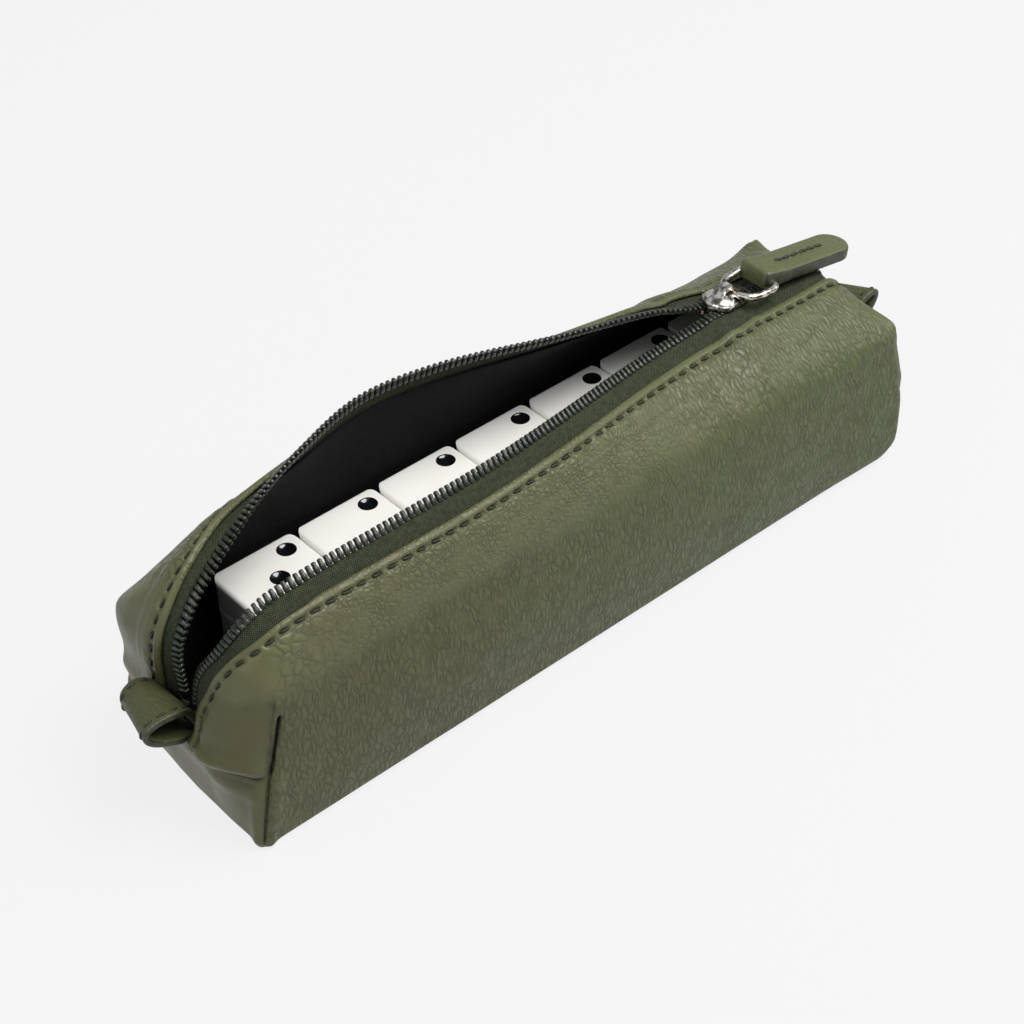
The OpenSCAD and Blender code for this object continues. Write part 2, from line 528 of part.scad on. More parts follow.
// ---- dominoes ----
function pips(n) = concat(
    n % 2 == 1 ? [[0, 0]] : [],
    n > 1 ? [[1, 1], [-1, -1]] : [],
    n > 3 ? [[1, -1], [-1, 1]] : [],
    n == 6 ? [[-1, 0], [1, 0]] : []) * pip_step;
module rounded(size, r) {
    translate([-size[0] / 2 + r, -size[1] / 2]) square([size[0] - 2 * r, size[1]]);
    translate([-size[0] / 2, -size[1] / 2 + r]) square([size[0], size[1] - 2 * r]);
    for (x = [-1, 1], y = [-1, 1])
        translate([x * (size[0] / 2 - r), y * (size[1] / 2 - r)]) circle(r, $fn = fine);
}
// A domino lying across the case, faces up; halves = [front, back]
module domino(halves) difference() {
    intersection() {
        linear_extrude(tile_t) rounded([tile_w, tile_l], tile_corner_r);
        translate([0, tile_l / 2 + 1, tile_t / 2]) rotate([90, 0, 0])
            linear_extrude(tile_l + 2) rounded([tile_w, tile_t], tile_edge_r);
        translate([-tile_w / 2 - 1, 0, tile_t / 2]) rotate([90, 0, 90])
            linear_extrude(tile_w + 2) rounded([tile_l, tile_t], tile_edge_r);
    }
    translate([-tile_w / 2 + 2.5, -groove_w / 2, tile_t - groove_depth])
        cube([tile_w - 5, groove_w, groove_depth + 1]);
    for (h = [0, 1]) for (p = pips(halves[h]))
        translate([p[0], p[1] + (h == 0 ? -1 : 1) * tile_l / 4, tile_t + pip_r - pip_depth])
            sphere(pip_r, $fn = fine);
}
// The k-th domino in its place: the top layer first, then the layers below it
module stacked(k) {
    layer = layers - 1 - floor(k / columns);
    translate([row_x0 + tile_w / 2 + (k % columns) * (tile_w + tile_gap), 0,
        floor_z + layer * (tile_t + lay)]) color("#e8e6de") domino(faces[k]);
}

leather_body();
lining();
tape_front();
tape_back();
teeth_front();
teeth_back();
teeth_closed();
top_stops();
bottom_stop();
slider_body();
pull_ring();
pull_tab();
loop_near();
loop_far();
for (k = [0:len(faces) - 1]) stacked(k);
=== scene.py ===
from math import asin, cos, hypot, pi, radians, sin, tan

import bpy
import numpy as np
from mathutils import Matrix, Vector, noise


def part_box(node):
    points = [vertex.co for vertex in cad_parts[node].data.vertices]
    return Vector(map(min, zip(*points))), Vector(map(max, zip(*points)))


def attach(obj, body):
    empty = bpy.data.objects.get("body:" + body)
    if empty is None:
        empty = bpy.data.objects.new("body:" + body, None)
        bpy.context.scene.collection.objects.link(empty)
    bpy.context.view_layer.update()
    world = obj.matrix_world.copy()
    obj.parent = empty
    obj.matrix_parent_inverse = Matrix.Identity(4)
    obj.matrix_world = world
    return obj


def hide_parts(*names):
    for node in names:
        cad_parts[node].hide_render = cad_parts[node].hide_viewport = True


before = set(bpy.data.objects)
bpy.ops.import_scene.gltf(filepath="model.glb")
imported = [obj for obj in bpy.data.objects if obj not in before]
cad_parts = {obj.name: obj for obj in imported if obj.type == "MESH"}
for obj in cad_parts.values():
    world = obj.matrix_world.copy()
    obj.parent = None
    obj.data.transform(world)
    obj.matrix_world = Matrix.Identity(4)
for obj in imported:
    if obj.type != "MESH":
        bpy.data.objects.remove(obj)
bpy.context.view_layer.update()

# ---------------------------------------------------------------- the leather
# The case is cut from one piece of soft olive calf leather: the front, bottom, back and both
# ends. It is sewn at the four upright corners and across the ends, and its edges along the
# mouth are turned under and sewn down beside the zip. Sizes here are in millimetres.
MM = 0.001
half_l, half_w, wall_h = 104.0, 26.5, 43.0
seam_h = 21.0                      # height of the seam across each end
leather_t = 1.2
bottom_r = 3.0
foot_arc = 0.25                    # share of a line across the bottom that lies on its round edge
belly = 1.8                        # swelling of the two long walls
corner_lean, other_lean = 8.0, 1.0   # how far the front corner at the open end leans in, and the rest
lean_h = 40.0                      # the height at which those are measured
near_out = 0.5                     # how far the open end's foot stands out
fold_low_r, fold_more = 3, 5       # the fold's radius at the ends, and what the middle has more
fold_pull, lip_pull = 1.35, 7      # how far the top runs on the way it leaves the fold and the lip
end_out, end_in = 3.3, 6.0         # the same at the ends, along the case and across it
tape_w, tape_t = 6.8, 0.5
tape_gap = 0.26                    # between the leather and the tape
flat_w = 4.2                       # part of the tape that lies flat beside the closed zip
slider_x, zip_off, zip_fall = 0.635 * half_l, 0.8, radians(6)
back_open, back_rise = 18.0, 24.6
front_open, front_rise = 15.0, 18.5
crown = 10.3                       # height of the closed zip over the walls, at the slider
recess = 2.5                       # how far the zip's ends lie inside the case's
end_x, end_up = -half_l + recess, wall_h - seam_h
edge_lift = leather_t + tape_t / 2 + tape_gap
corner_soft, far_soft = 3.0, 7.0   # rounding of the corners at the open end and at the slider's
far_bulge = 2.0                    # of the ends of the walls, at the slider's end
pulled_in = 1.5                    # the back corner of the open end, below the fold
ear_up, ear_at, ear_size = 2.6, (101.5, 25.5, 43), (5.5, 5, 7)


def mix(a, b, t):
    return a + (b - a) * t


def smooth(a, b, x):
    """0 before a, 1 after b, smooth between."""
    t = np.clip((np.asarray(x, float) - a) / (b - a), 0, 1)
    return t * t * (3 - 2 * t)


def closed_z(x):
    return wall_h + crown - tan(zip_fall) * (x - slider_x)


# Where the teeth of each side run: station, x, y, z, tilt of the tape. Station -2 is at the
# end seam of the open end, -1 and 1 are the upper corners, 2 is at the slider's end.
def closed_rows(side):
    """The part where the zip is closed and both sides run together."""
    return [
        (0.555, slider_x - 8.5, zip_off + side * 2.2, closed_z(slider_x - 8.5) + 0.2, 18),
        (0.59, slider_x - 4.5, zip_off + side * 1.75, closed_z(slider_x - 4.5), 18),
        (0.64, slider_x + 1.5, zip_off, closed_z(slider_x + 1.5), 18),
        (0.67, slider_x + 4, zip_off, closed_z(slider_x + 4), 18),
        (0.84, 0.85 * half_l, zip_off, closed_z(0.85 * half_l), 18),
        (0.88, 0.89 * half_l, zip_off, closed_z(0.89 * half_l), 18),
        (0.96, 0.95 * half_l, zip_off, closed_z(0.95 * half_l) - 1.2, 14),
        (1.08, half_l - recess - 0.5, zip_off, wall_h, 5),
        (1.3, half_l - recess, zip_off, seam_h + 0.7 * end_up, 0),
        (2, half_l - recess, zip_off, seam_h, 0)]


front_lip = np.array([
    (-2, end_x, -1, seam_h, -20),
    (-1.6, end_x + 0.5, -1.5, seam_h + 0.45 * end_up, -20),
    (-1.25, end_x + 1.5, -0.27 * front_open, seam_h + 0.82 * end_up, -15),
    (-1, -0.942 * half_l, -0.63 * front_open, wall_h + 0.24 * front_rise, 0),
    (-0.93, -0.904 * half_l, -0.83 * front_open, wall_h + 0.62 * front_rise, 25),
    (-0.82, -0.822 * half_l, -0.9 * front_open, wall_h + 0.865 * front_rise, 40),
    (-0.5, -0.5 * half_l, -front_open, wall_h + front_rise, 47),
    (-0.2, -0.27 * half_l, -0.97 * front_open, wall_h + front_rise, 47),
    (0, -0.058 * half_l, -0.8 * front_open, wall_h + 0.95 * front_rise, 42),
    (0.3, 0.322 * half_l, -0.29 * front_open, wall_h + 0.73 * front_rise, 30)] + closed_rows(-1), float)
back_lip = np.array([
    (-2, end_x, 1, seam_h, -20),
    (-1.6, end_x, 1, seam_h + 0.45 * end_up, -20),
    (-1.25, end_x - 0.2, 0.8, seam_h + 0.86 * end_up, -15),
    (-1, -0.957 * half_l, 0.2, wall_h + 0.18 * back_rise, -15),
    (-0.92, -0.904 * half_l, 0.1 * back_open, wall_h + 0.41 * back_rise, -17),
    (-0.82, -0.81 * half_l, 0.27 * back_open, wall_h + 0.62 * back_rise, 0),
    (-0.68, -0.683 * half_l, 0.52 * back_open, wall_h + 0.805 * back_rise, 35),
    (-0.53, -0.54 * half_l, 0.76 * back_open, wall_h + 0.93 * back_rise, 60),
    (-0.33, -0.342 * half_l, back_open, wall_h + back_rise, 72),
    (-0.13, -0.13 * half_l, 0.88 * back_open, wall_h + 0.97 * back_rise, 68),
    (0.18, 0.175 * half_l, 0.51 * back_open, wall_h + 0.8 * back_rise, 48),
    (0.43, 0.44 * half_l, 0.28 * back_open, wall_h + 0.62 * back_rise, 30)] + closed_rows(1), float)


def curve_between(a, b, leave, reach, u):
    """A smooth curve from a to b as u goes from 0 to 1, with its slopes at both ends."""
    return ((2 * u**3 - 3 * u**2 + 1) * a + (u**3 - 2 * u**2 + u) * leave
            + (3 * u**2 - 2 * u**3) * b + (u**3 - u**2) * reach)


def along_lip(side, g):
    """Place of the teeth, and tilt of the tape, at stations g: a smooth curve through the rows."""
    rows = front_lip if side < 0 else back_lip
    g = np.asarray(g, float)
    n = len(rows)
    a, b = np.maximum(np.arange(n) - 1, 0), np.minimum(np.arange(n) + 1, n - 1)
    slope = (rows[b, 1:] - rows[a, 1:]) / (rows[b, :1] - rows[a, :1])
    i = np.clip(np.searchsorted(rows[1:, 0], g, "left"), 0, n - 2)
    h = (rows[i + 1, 0] - rows[i, 0])[..., None]
    u = (g - rows[i, 0])[..., None] / h
    out = curve_between(rows[i, 1:], rows[i + 1, 1:], h * slope[i], h * slope[i + 1], u)
    return out[..., :3], np.radians(out[..., 3])


def outward(g):
    """Up on the top of the case, out on its ends."""
    a = np.radians(90 * smooth(0.85, 1.25, -g) - 90 * smooth(0.93, 1.15, g))
    return np.stack([-np.sin(a), 0 * a, np.cos(a)], -1)


def tape_dir(side, g, tilt):
    """From the leather's edge to the teeth."""
    o = outward(g)
    return (np.stack([0 * tilt, -side * np.cos(tilt), 0 * tilt], -1) + o * np.sin(tilt)[..., None])


def tape_up(side, g, tilt):
    """Square to the tape, out of the case."""
    o = outward(g)
    return (np.stack([0 * tilt, side * np.sin(tilt), 0 * tilt], -1) + o * np.cos(tilt)[..., None])


def inner_tilt(g, tilt):
    """Tilt of the tape's inner part, which lies flat beside the closed zip."""
    return tilt * (1 - smooth(0.5, 0.56, g) * (1 - smooth(0.9, 1, g)))


def tape_mid(side, g):
    """The line along which the tape changes from one tilt to the other."""
    place, tilt = along_lip(side, g)
    return place - flat_w * tape_dir(side, g, inner_tilt(g, tilt))


# how far past its plain line the leather's edge is cut and pulled: stations, and amounts there
front_cut = ((-2, -1.75, -1.56, -1.27, -1.1, -0.97, -0.84, -0.4, 0.2, 0.44, 0.67, 0.81, 0.9, 1),
             (-2.4, -2.6, -2.4, -1.5, -0.3, 0.7, 0.1, -0.4, -0.3, -0.8, -2.4, -1.4, -0.5, 0))
back_cut = ((-2, -1.6, -1.2, -0.9, -0.68, -0.5), (0, 0.8, 1.5, 1.2, 0.4, 0))


def cut(side, g):
    return np.interp(g, *(front_cut if side < 0 else back_cut))


def lip_edge(side, g, depth, past=0.0):
    """The leather's edge beside the tape, sunk by a depth and moved past the edge."""
    tilt = along_lip(side, g)[1]
    d = np.asarray(depth, float)[..., None]
    p = np.asarray(past(side, g) if callable(past) else past, float)[..., None]
    return (tape_mid(side, g) - (tape_w - flat_w) * tape_dir(side, g, tilt)
            + (edge_lift - d) * tape_up(side, g, tilt) + p * tape_dir(side, g, tilt))


def fullness(g):
    """1 along the middle of the case, 0 at its ends."""
    return 1 - np.minimum(1, np.abs(g)) ** 4


def fold_r(g):
    """Radius at which a wall turns over into the top."""
    return fold_low_r + fold_more * fullness(g)


def end_plane(side, e, z, depth):
    """x of an end at a height, at the case's front or back corner."""
    lean = np.where(np.asarray(side) < 0, corner_lean, other_lean)
    return np.where(e > 0, half_l - depth - other_lean * z / lean_h,
                    -half_l - near_out + depth + lean * z / lean_h)


def end_plane_at(y, e, z, depth):
    return mix(end_plane(-1, e, z, depth), end_plane(1, e, z, depth), (y / (half_w - depth) + 1) / 2)


def wall(side, g, z, depth):
    swell = belly * fullness(g) * np.sin(pi * np.maximum(0, z - bottom_r) / (wall_h - bottom_r))
    x = mix(end_plane(side, -1, z, depth), end_plane(side, 1, z, depth), (g + 1) / 2)
    return np.stack(np.broadcast_arrays(x, side * (half_w + swell - depth), z), -1)


def fold(side, g, depth):
    """Where the wall turns over into the top, and round the upright corners of the ends."""
    z_end = mix(wall_h - 3, seam_h, np.abs(g) - 1)
    x_end = end_plane(side, np.sign(g), z_end, depth)
    on_end = np.stack(np.broadcast_arrays(x_end, side * (half_w - depth), z_end), -1)
    return np.where((np.abs(g) <= 1)[..., None], wall(side, g, wall_h - fold_r(g), depth), on_end)


def band(side, g, v, depth=0.0, edge_depth=0.0, past=0.0):
    """From the fold (v = 0) to the lip's edge (v = 1)."""
    g, v = np.broadcast_arrays(np.asarray(g, float), np.asarray(v, float))
    p0, e = fold(side, g, depth), lip_edge(side, g, edge_depth, past)
    w = smooth(1, 1.12, np.abs(g))[..., None]
    up = np.stack([0 * g, 0 * g, fold_pull * fold_r(g)], -1)
    inward = np.stack([end_out * np.sign(g), 0 * g - end_in * side, 0 * g], -1)
    p1 = p0 + (1 - w) * up + w * inward
    p2 = e - lip_pull * tape_dir(side, g, along_lip(side, g)[1])
    v = v[..., None]
    return (1 - v)**3 * p0 + 3 * (1 - v)**2 * v * p1 + 3 * (1 - v) * v**2 * p2 + v**3 * e


def foot(side, c, depth, y_in):
    """One line across the bottom, from the wall's foot (c = 0) to under the lip's edge (c = 1)."""
    r = max(0.2, bottom_r - depth)
    sunk = bottom_r - depth - r
    a = np.minimum(c / foot_arc, 1) * pi / 2
    flat = np.maximum(c - foot_arc, 0) / (1 - foot_arc)
    y = np.where(c <= foot_arc, side * (half_w - bottom_r + r * np.cos(a) + sunk),
                 mix(side * (half_w - bottom_r), y_in, flat))
    return y, np.where(c <= foot_arc, bottom_r - r * np.sin(a) - sunk, depth)


def low(side, g, c, depth, edge_depth, past):
    """The bottom, and beyond it the lower half of each end."""
    g, c = np.broadcast_arrays(np.asarray(g, float), np.asarray(c, float))
    e = np.where(g < 0, -1.0, 1.0)
    ends = [lip_edge(side, np.array(s), edge_depth, past)[1] for s in (-2.0, 2.0)]
    on_bottom = np.abs(g) <= 1
    t = np.clip((g + 1) / 2, 0, 1)
    y, z = foot(side, c, depth, mix(ends[0], ends[1], t))
    z = np.where(np.abs(g) < 1, z, np.maximum(z, min(bottom_r, depth + 1.2)))
    flat = np.stack([mix(end_plane_at(y, -1, z, depth), end_plane_at(y, 1, z, depth), t), y, z], -1)
    k = np.clip(np.abs(g) - 1, 0, 1)[..., None]
    top = band(side, 2 * e, c, depth, edge_depth, past)
    return np.where(on_bottom[..., None], flat, mix(flat, top, k))


def skin_strips(n_long, n_end, n_across, depth, edge_depth, past):
    """The five strips of the case as grids of points: two bands, two walls and the bottom. The
    first three numbers say how many points run along the case, up an end and across a band; they
    lie closer together at the corners and at the lip's edge."""
    corner = np.array([1, 0.997, 0.994])
    middle = np.concatenate([-corner, np.linspace(-0.99, 0.99, n_long), corner[::-1]])
    ends, across = np.linspace(0, 1, n_end + 1), np.linspace(0, 1, n_across + 1)
    ends, across = ends - 0.08 * np.sin(2 * pi * ends), across * (1.5 - 0.5 * across)
    full = np.concatenate([-1 - ends[:0:-1], middle, 1 + ends[1:]])

    def wall_grid(side):
        z_high = mix(seam_h, (wall_h - fold_r(middle))[:, None], (1 - ends[-2::-1])[None])
        z_low = np.broadcast_to(mix(bottom_r, seam_h, ends), (len(middle), n_end + 1))
        z = np.concatenate([z_low, z_high], 1)
        return wall(side, middle[:, None], z, depth)

    def low_grid():
        halves = [low(s, full[:, None], across[None], depth, edge_depth, past) for s in (-1, 1)]
        mid = (halves[0][:, -1:] + halves[1][:, -1:]) / 2
        return np.concatenate([halves[0], mid, halves[1][:, ::-1]], 1)

    bands = [band(s, full[:, None], across[None], depth, edge_depth, past) for s in (-1, 1)]
    return [bands[0][:, ::-1], wall_grid(-1)[:, ::-1], low_grid(), wall_grid(1), bands[1]]


def rounder(a, b):
    """How much of both distances to add so that a square corner becomes a quarter circle."""
    low_one, big = np.minimum(a, b), np.maximum(a, b)
    pull = big / np.maximum(np.hypot(a, b), 1e-9) - 1
    return np.where(low_one > 0, pull * smooth(0, 0.3, low_one), 0)


def soften(grid):
    """Softens the corners at both ends: the upright ones are rounded, then the bottom edge. Those
    at the slider's end bulge a little below the fold, and the back one stands up in a soft ear."""
    x, y, z = grid[..., 0], grid[..., 1], grid[..., 2]
    e, s = np.sign(x), np.sign(y)
    r = np.where(e < 0, corner_soft, far_soft)
    x0 = end_plane_at(y, e, z, 0.0)
    u, w = 1 - e * (x0 - x) / corner_soft, 1 - (half_w - np.abs(y)) / corner_soft
    f = rounder(u, w) * (1 - smooth(wall_h - 3, wall_h + 4, z))
    x, y = x + e * corner_soft * u * f, y + s * corner_soft * w * f
    a, c = 1 - e * (x0 - x) / r, 1 - z / r
    k = rounder(a, c)
    far = (far_bulge * np.sin(pi * np.minimum(1, (z + 6) / 42)) * smooth(12, half_w, np.abs(y))
           * smooth(half_l - 30, half_l, x))
    pulled = pulled_in * smooth(42, 30, z) * smooth(0, 18, y) * smooth(8 - half_l, -half_l, x)
    ear = ear_up * np.exp(-(((np.stack([x, y, z], -1) - ear_at) / ear_size) ** 2).sum(-1))
    return np.stack([x + e * r * a * k + far + pulled, y + 0.6 * s * far + 0.1 * ear,
                     z - r * c * k + ear], -1)


cells_per_mm, cell_shift = 500, 0.37   # points in one small cell are one; round numbers lie inside cells


def weld(name, grids, facts=()):
    """A closed mesh from grids of points in millimetres, turned to face outwards. Points that
    coincide become one. facts holds an array of numbers for each grid, which come back in step
    with the mesh's own vertices."""
    points, quads, start = [], [], 0
    for grid in grids:
        n, m = grid.shape[:2]
        k = start + np.arange(n * m).reshape(n, m)
        quads.append(np.stack([k[:-1, :-1], k[1:, :-1], k[1:, 1:], k[:-1, 1:]], -1).reshape(-1, 4))
        points.append(grid.reshape(-1, 3))
        start += n * m
    points, quads = np.concatenate(points), np.concatenate(quads)
    a, b, c, d = (points[quads[:, k]] - points.mean(0) for k in range(4))
    if (np.cross(a, b) * c + np.cross(a, c) * d).sum() < 0:
        quads = quads[:, ::-1]
    cells = np.floor(points * cells_per_mm + cell_shift)
    _, first, back = np.unique(cells, axis=0, return_index=True, return_inverse=True)
    faces = []
    for q in back.reshape(-1)[quads].tolist():
        ring = [a for a, b in zip(q, q[1:] + q[:1]) if a != b]
        if len(ring) > 2:
            faces.append(ring)
    mesh = bpy.data.meshes.new(name)
    mesh.from_pydata((points[first] * MM).tolist(), [], faces)
    mesh.shade_smooth()
    piece = bpy.data.objects.new(name, mesh)
    bpy.context.collection.objects.link(piece)
    if len(facts):
        return piece, np.concatenate([np.reshape(f, (-1, f.shape[-1])) for f in facts])[first]
    return piece


def flipped(grid):
    return grid[:, ::-1]


def mouth_ring(strips):
    """The line round the mouth: along both lips and across the top of each end's lower half."""
    m = strips[0].shape[1] - 1
    return np.concatenate([strips[0][:, 0], strips[2][-1, m:m + 3], strips[4][::-1, m],
                           strips[2][0, m:m + 3][::-1], strips[0][:1, 0]])


def skin(strips_at, outer, inner, past, edge_steps):
    """A closed skin between two depths, with its edge along the mouth rounded over. outer and
    inner are (depth, depth at the edge). The outer strips are also given as they were before
    their corners were softened."""
    out, inn = strips_at(*outer, past), strips_at(*inner, past)
    turns = np.linspace(0, pi, edge_steps + 1)
    rings = [mouth_ring(out)]
    for a in turns[1:-1]:
        k, t = (1 - cos(a)) / 2, (inner[1] - outer[1]) / 2
        rings.append(mouth_ring(strips_at(mix(outer[0], inner[0], k), mix(outer[1], inner[1], k),
                                          past + t * sin(a))))
    rings.append(mouth_ring(inn))
    grids = [soften(g) for g in out] + [flipped(soften(g)) for g in inn] + [soften(np.stack(rings))]
    return grids, out


def case_strips(depth, edge_depth, past):
    return skin_strips(400, 40, 60, depth, edge_depth, lambda side, g: past + cut(side, g))


grids, outer = skin(case_strips, outer=(0, 0), inner=(leather_t, leather_t), past=0.0, edge_steps=6)


def from_edge(grid):
    """Distance of each point from the first point of its row, along the row."""
    steps = np.linalg.norm(np.diff(grid, axis=1), axis=2)
    return np.concatenate([np.zeros((len(grid), 1)), np.cumsum(steps, 1)], 1)


def unit(v):
    return v / np.linalg.norm(v, axis=-1, keepdims=True)


stitch_in, stitch_pitch = 2.0, 4.1


def row_in(side, inset):
    """The run of a sewn row: a line on the band at a distance from its edge, its normals and
    its stations."""
    g, v = np.linspace(-1.97, 1.97, 1400), np.linspace(1, 0.2, 60)
    gone = from_edge(band(side, g[:, None], v[None], past=cut))
    v_at = np.array([np.interp(inset, row, v) for row in gone])
    line = band(side, g, v_at, past=cut)
    across = band(side, g, v_at - 0.02, past=cut) - line
    return line, unit(np.cross(np.gradient(line, axis=0), across) * side), g


def run_of(line):
    """Length of a line up to each of its points."""
    return np.concatenate([[0], np.cumsum(np.linalg.norm(np.diff(line, axis=0), axis=1))])


far_away = 99.0                    # stands for a distance where there is no edge near


def facts_of(grid, side=0, edge_first=True):
    """What the relief needs to know of each point: its distance from the lip's edge, its place
    along the sewn row, whether it is outside, and where it lay before the corners were softened."""
    dist, run = np.full((2,) + grid.shape[:2], far_away)
    if side:
        dist = from_edge(grid if edge_first else flipped(grid))
        dist = dist if edge_first else flipped(dist)
        line, _, g = row_in(side, stitch_in)
        nearest = np.linspace(0, len(g) - 1, 700).astype(int)
        at_edge = grid[:, 0] if edge_first else grid[:, -1]
        edge_line = lip_edge(side, g[nearest], 0.0, cut)
        closest = np.array([np.argmin(((edge_line - q) ** 2).sum(1)) for q in at_edge])
        run = np.repeat(run_of(line)[nearest][closest][:, None], grid.shape[1], 1)
    return np.concatenate([np.stack([dist, run, np.ones_like(dist)], -1), grid], -1)


facts = [facts_of(outer[0], -1), facts_of(outer[1]), facts_of(outer[2]), facts_of(outer[3]),
         facts_of(outer[4], 1, False)]
facts += [np.concatenate([np.full(g.shape, far_away) * (1, 1, 0), g], -1) for g in grids[5:]]
case_leather, told = weld("case_leather", grids, facts)


def soft_noise(p, size, seed):
    """Smooth noise from -1 to 1 at points in millimetres, with lumps of that size."""
    shift = Vector((seed, 3.7 * seed, -2.1 * seed))
    return np.array([noise.noise(Vector(q) + shift) for q in (p / np.asarray(size)).tolist()])


def place_of(piece):
    p = np.empty(3 * len(piece.data.vertices))
    piece.data.vertices.foreach_get("co", p)
    return p.reshape(-1, 3) / MM


def normals_of(piece):
    n = np.empty(3 * len(piece.data.vertices))
    piece.data.vertex_normals.foreach_get("vector", n)
    return n.reshape(-1, 3)


def ridge(away, at, width, height=1.0):
    """A rounded ridge that runs at one distance from a line; below 0 in height it is a groove."""
    return height * np.exp(-((away - at) / width) ** 2)


p, normal = place_of(case_leather), normals_of(case_leather)
dist, run, shown, q = told[:, 0], told[:, 1], told[:, 2], told[:, 3:]
seen = shown > 0
lump = np.zeros((4, len(p)))
for k, (size, seed) in enumerate((((26, 18, 16), 1), ((9, 9, 7), 2), (2.4, 5), ((3.4, 11, 11), 8))):
    lump[k, seen] = soft_noise(p[seen], size, seed)
broad_lump, hand_lump, rim_lump, crease_lump = lump
deep, up = np.abs(q[:, 1]), q[:, 2]
open_end, front = q[:, 0] < 0, q[:, 1] < 0
near = np.minimum(dist, 30)
# the edge is turned under: a smooth rim, then a groove where the stitches pull it in, with a
# small swelling between one stitch and the next, puckers beyond them and a shallow hollow
beat = np.cos(2 * pi * run / stitch_pitch)
relief = ridge(dist, at=0.8, width=0.6, height=0.3)
relief += ridge(dist, at=stitch_in, width=0.5, height=-0.6 + 0.85 * np.maximum(0, beat) ** 3)
relief += ridge(dist, at=3.2, width=0.9, height=0.1 * beat)
relief += ridge(dist, at=3.9, width=1.3, height=0.2 + 0.16 * rim_lump)
relief -= 0.25 * smooth(6.4, 8.0, near) * (1 - smooth(13, 23, near))
# the upright seams at the corners pull in, with a swelling on both sides; the one in front at the
# open end is sewn hardest, and above the seam across that end it gapes along a slit
inset = np.maximum(0, np.sign(q[:, 0]) * (end_plane_at(q[:, 1], np.sign(q[:, 0]), up, 0.0) - q[:, 0]))
from_corner = np.hypot(inset, np.maximum(0, half_w - deep))
above = up - seam_h
slit_foot, slit_head, slit_h = -99.9, -95.4, 16
slit_x, slit_w = mix(slit_foot, slit_head, above / slit_h), mix(0.3, 0.55, above / slit_h)
in_slit = smooth(-0.5, 2, above) * smooth(slit_h + 0.6, slit_h - 0.4, above) * (q[:, 1] < 3 - half_w)
gape = ridge(q[:, 0], at=slit_x, width=slit_w) * in_slit
firm = np.where(open_end & front, 1.0, 0.3)
sewn = firm * smooth(41, 36, up) * np.where(open_end & front, smooth(3, -1, above), 1)
relief += sewn * ridge(from_corner, at=2.4, width=1.6, height=0.55)
relief += sewn * ridge(from_corner, at=0, width=0.4, height=-0.45)
# the seam across each end is a deep groove; the two flaps above it bulge out over it
on_end = smooth(4.5, 1.5, inset) * smooth(half_w - 0.3, half_w - 3, deep) * np.where(open_end, 1, 0.35)
flap = on_end * smooth(far_away, 20, dist) * np.where(front, 1, 0.3)
relief += flap * ridge(above, at=3.2, width=2.6, height=2.2)
relief += flap * 0.6 * smooth(0, 6, above) * smooth(20, 10, above)
relief += on_end * ridge(above, at=0, width=0.5, height=-1.4)
relief += on_end * ridge(above, at=-1.2, width=1.4, height=-0.5) * (above < 0)
relief += on_end * ridge(above, at=-5, width=2.2, height=0.4) * (above < 0)
# soft hand-pressed unevenness, and a few creases drawn towards the front corner at the open end
relief += smooth(3, 12, near) * smooth(0.5, 4, up) * (0.4 * broad_lump + 0.2 * hand_lump)
creases_at, creases_flat = (-91, -20, 50), (1, 1.3, 1.3)
from_creases = np.linalg.norm((q - creases_at) / creases_flat, axis=1)
relief += smooth(1.5, 5, dist) * ridge(from_creases, at=0, width=15, height=0.35) * crease_lump
# how smooth and how dark each point is: the ends and the rim are pressed smooth, and holes,
# seams and the slit are in shade
plain = smooth(4.0, 1.5, inset) * smooth(half_w + 0.5, half_w - 2, deep) + 0.6 * smooth(1.8, 1.2, dist)
shade = 1.5 * gape + ridge(dist, at=stitch_in, width=0.5, height=0.5 * np.maximum(0, -beat) ** 0.5)
shade += on_end * ridge(above, at=0.1, width=0.6)
shade += firm * smooth(0, 3, up) * ridge(from_corner, at=0, width=0.35, height=0.4)
p = p + (relief * shown)[:, None] * normal
p[:, 2] = np.maximum(p[:, 2], 0)


def relaxed(piece, p, weight, rounds):
    """Points drawn towards the middle of their neighbours, which rounds off what is sharp."""
    ends = np.empty(2 * len(piece.data.edges), int)
    piece.data.edges.foreach_get("vertices", ends)
    a, b = ends.reshape(-1, 2).T
    both, count = np.concatenate([a, b]), np.bincount(ends, minlength=len(p))
    for _ in range(rounds):
        around = [np.bincount(both, np.concatenate([p[b, k], p[a, k]]), len(p)) / count for k in range(3)]
        p = p + 0.5 * weight[:, None] * (np.stack(around, -1) - p)
    return p


# at the open end the leather rolls softly from the top over to the end: in front along a line
# from the slit upwards, and at the back round the tip
roll_from, roll_to = np.array((-99.0, -26.5, 33.0)), np.array((-88.0, -17.0, 51.0))
roll = roll_to - roll_from
along_roll = np.clip((q - roll_from) @ roll / np.sum(roll ** 2), 0, 1)
from_roll = np.linalg.norm(q - mix(roll_from, roll_to, along_roll[:, None]), axis=1)
tip_at, tip_tall = (-100, 25, 40), (1, 1, 2)
from_tip = np.linalg.norm((q - tip_at) / tip_tall, axis=1)
soft = smooth(2.5, 5, dist) * np.maximum(smooth(12, 5, from_roll), smooth(9, 4, from_tip))
slit_deep = 1.6
p = relaxed(case_leather, p, soft, rounds=90) - (slit_deep * gape * shown)[:, None] * normal
case_leather.data.vertices.foreach_set("co", (p * MM).ravel())
case_leather.data.update()


def lay_map(piece, name, values):
    """Two numbers for each vertex as a map that materials can read."""
    layer = piece.data.uv_layers.new(name=name)
    corner = np.empty(len(piece.data.loops), int)
    piece.data.loops.foreach_get("vertex_index", corner)
    layer.data.foreach_set("uv", values[corner].ravel())


lay_map(case_leather, "plain_and_shade", np.clip(np.stack([plain, shade], -1), 0, 1))


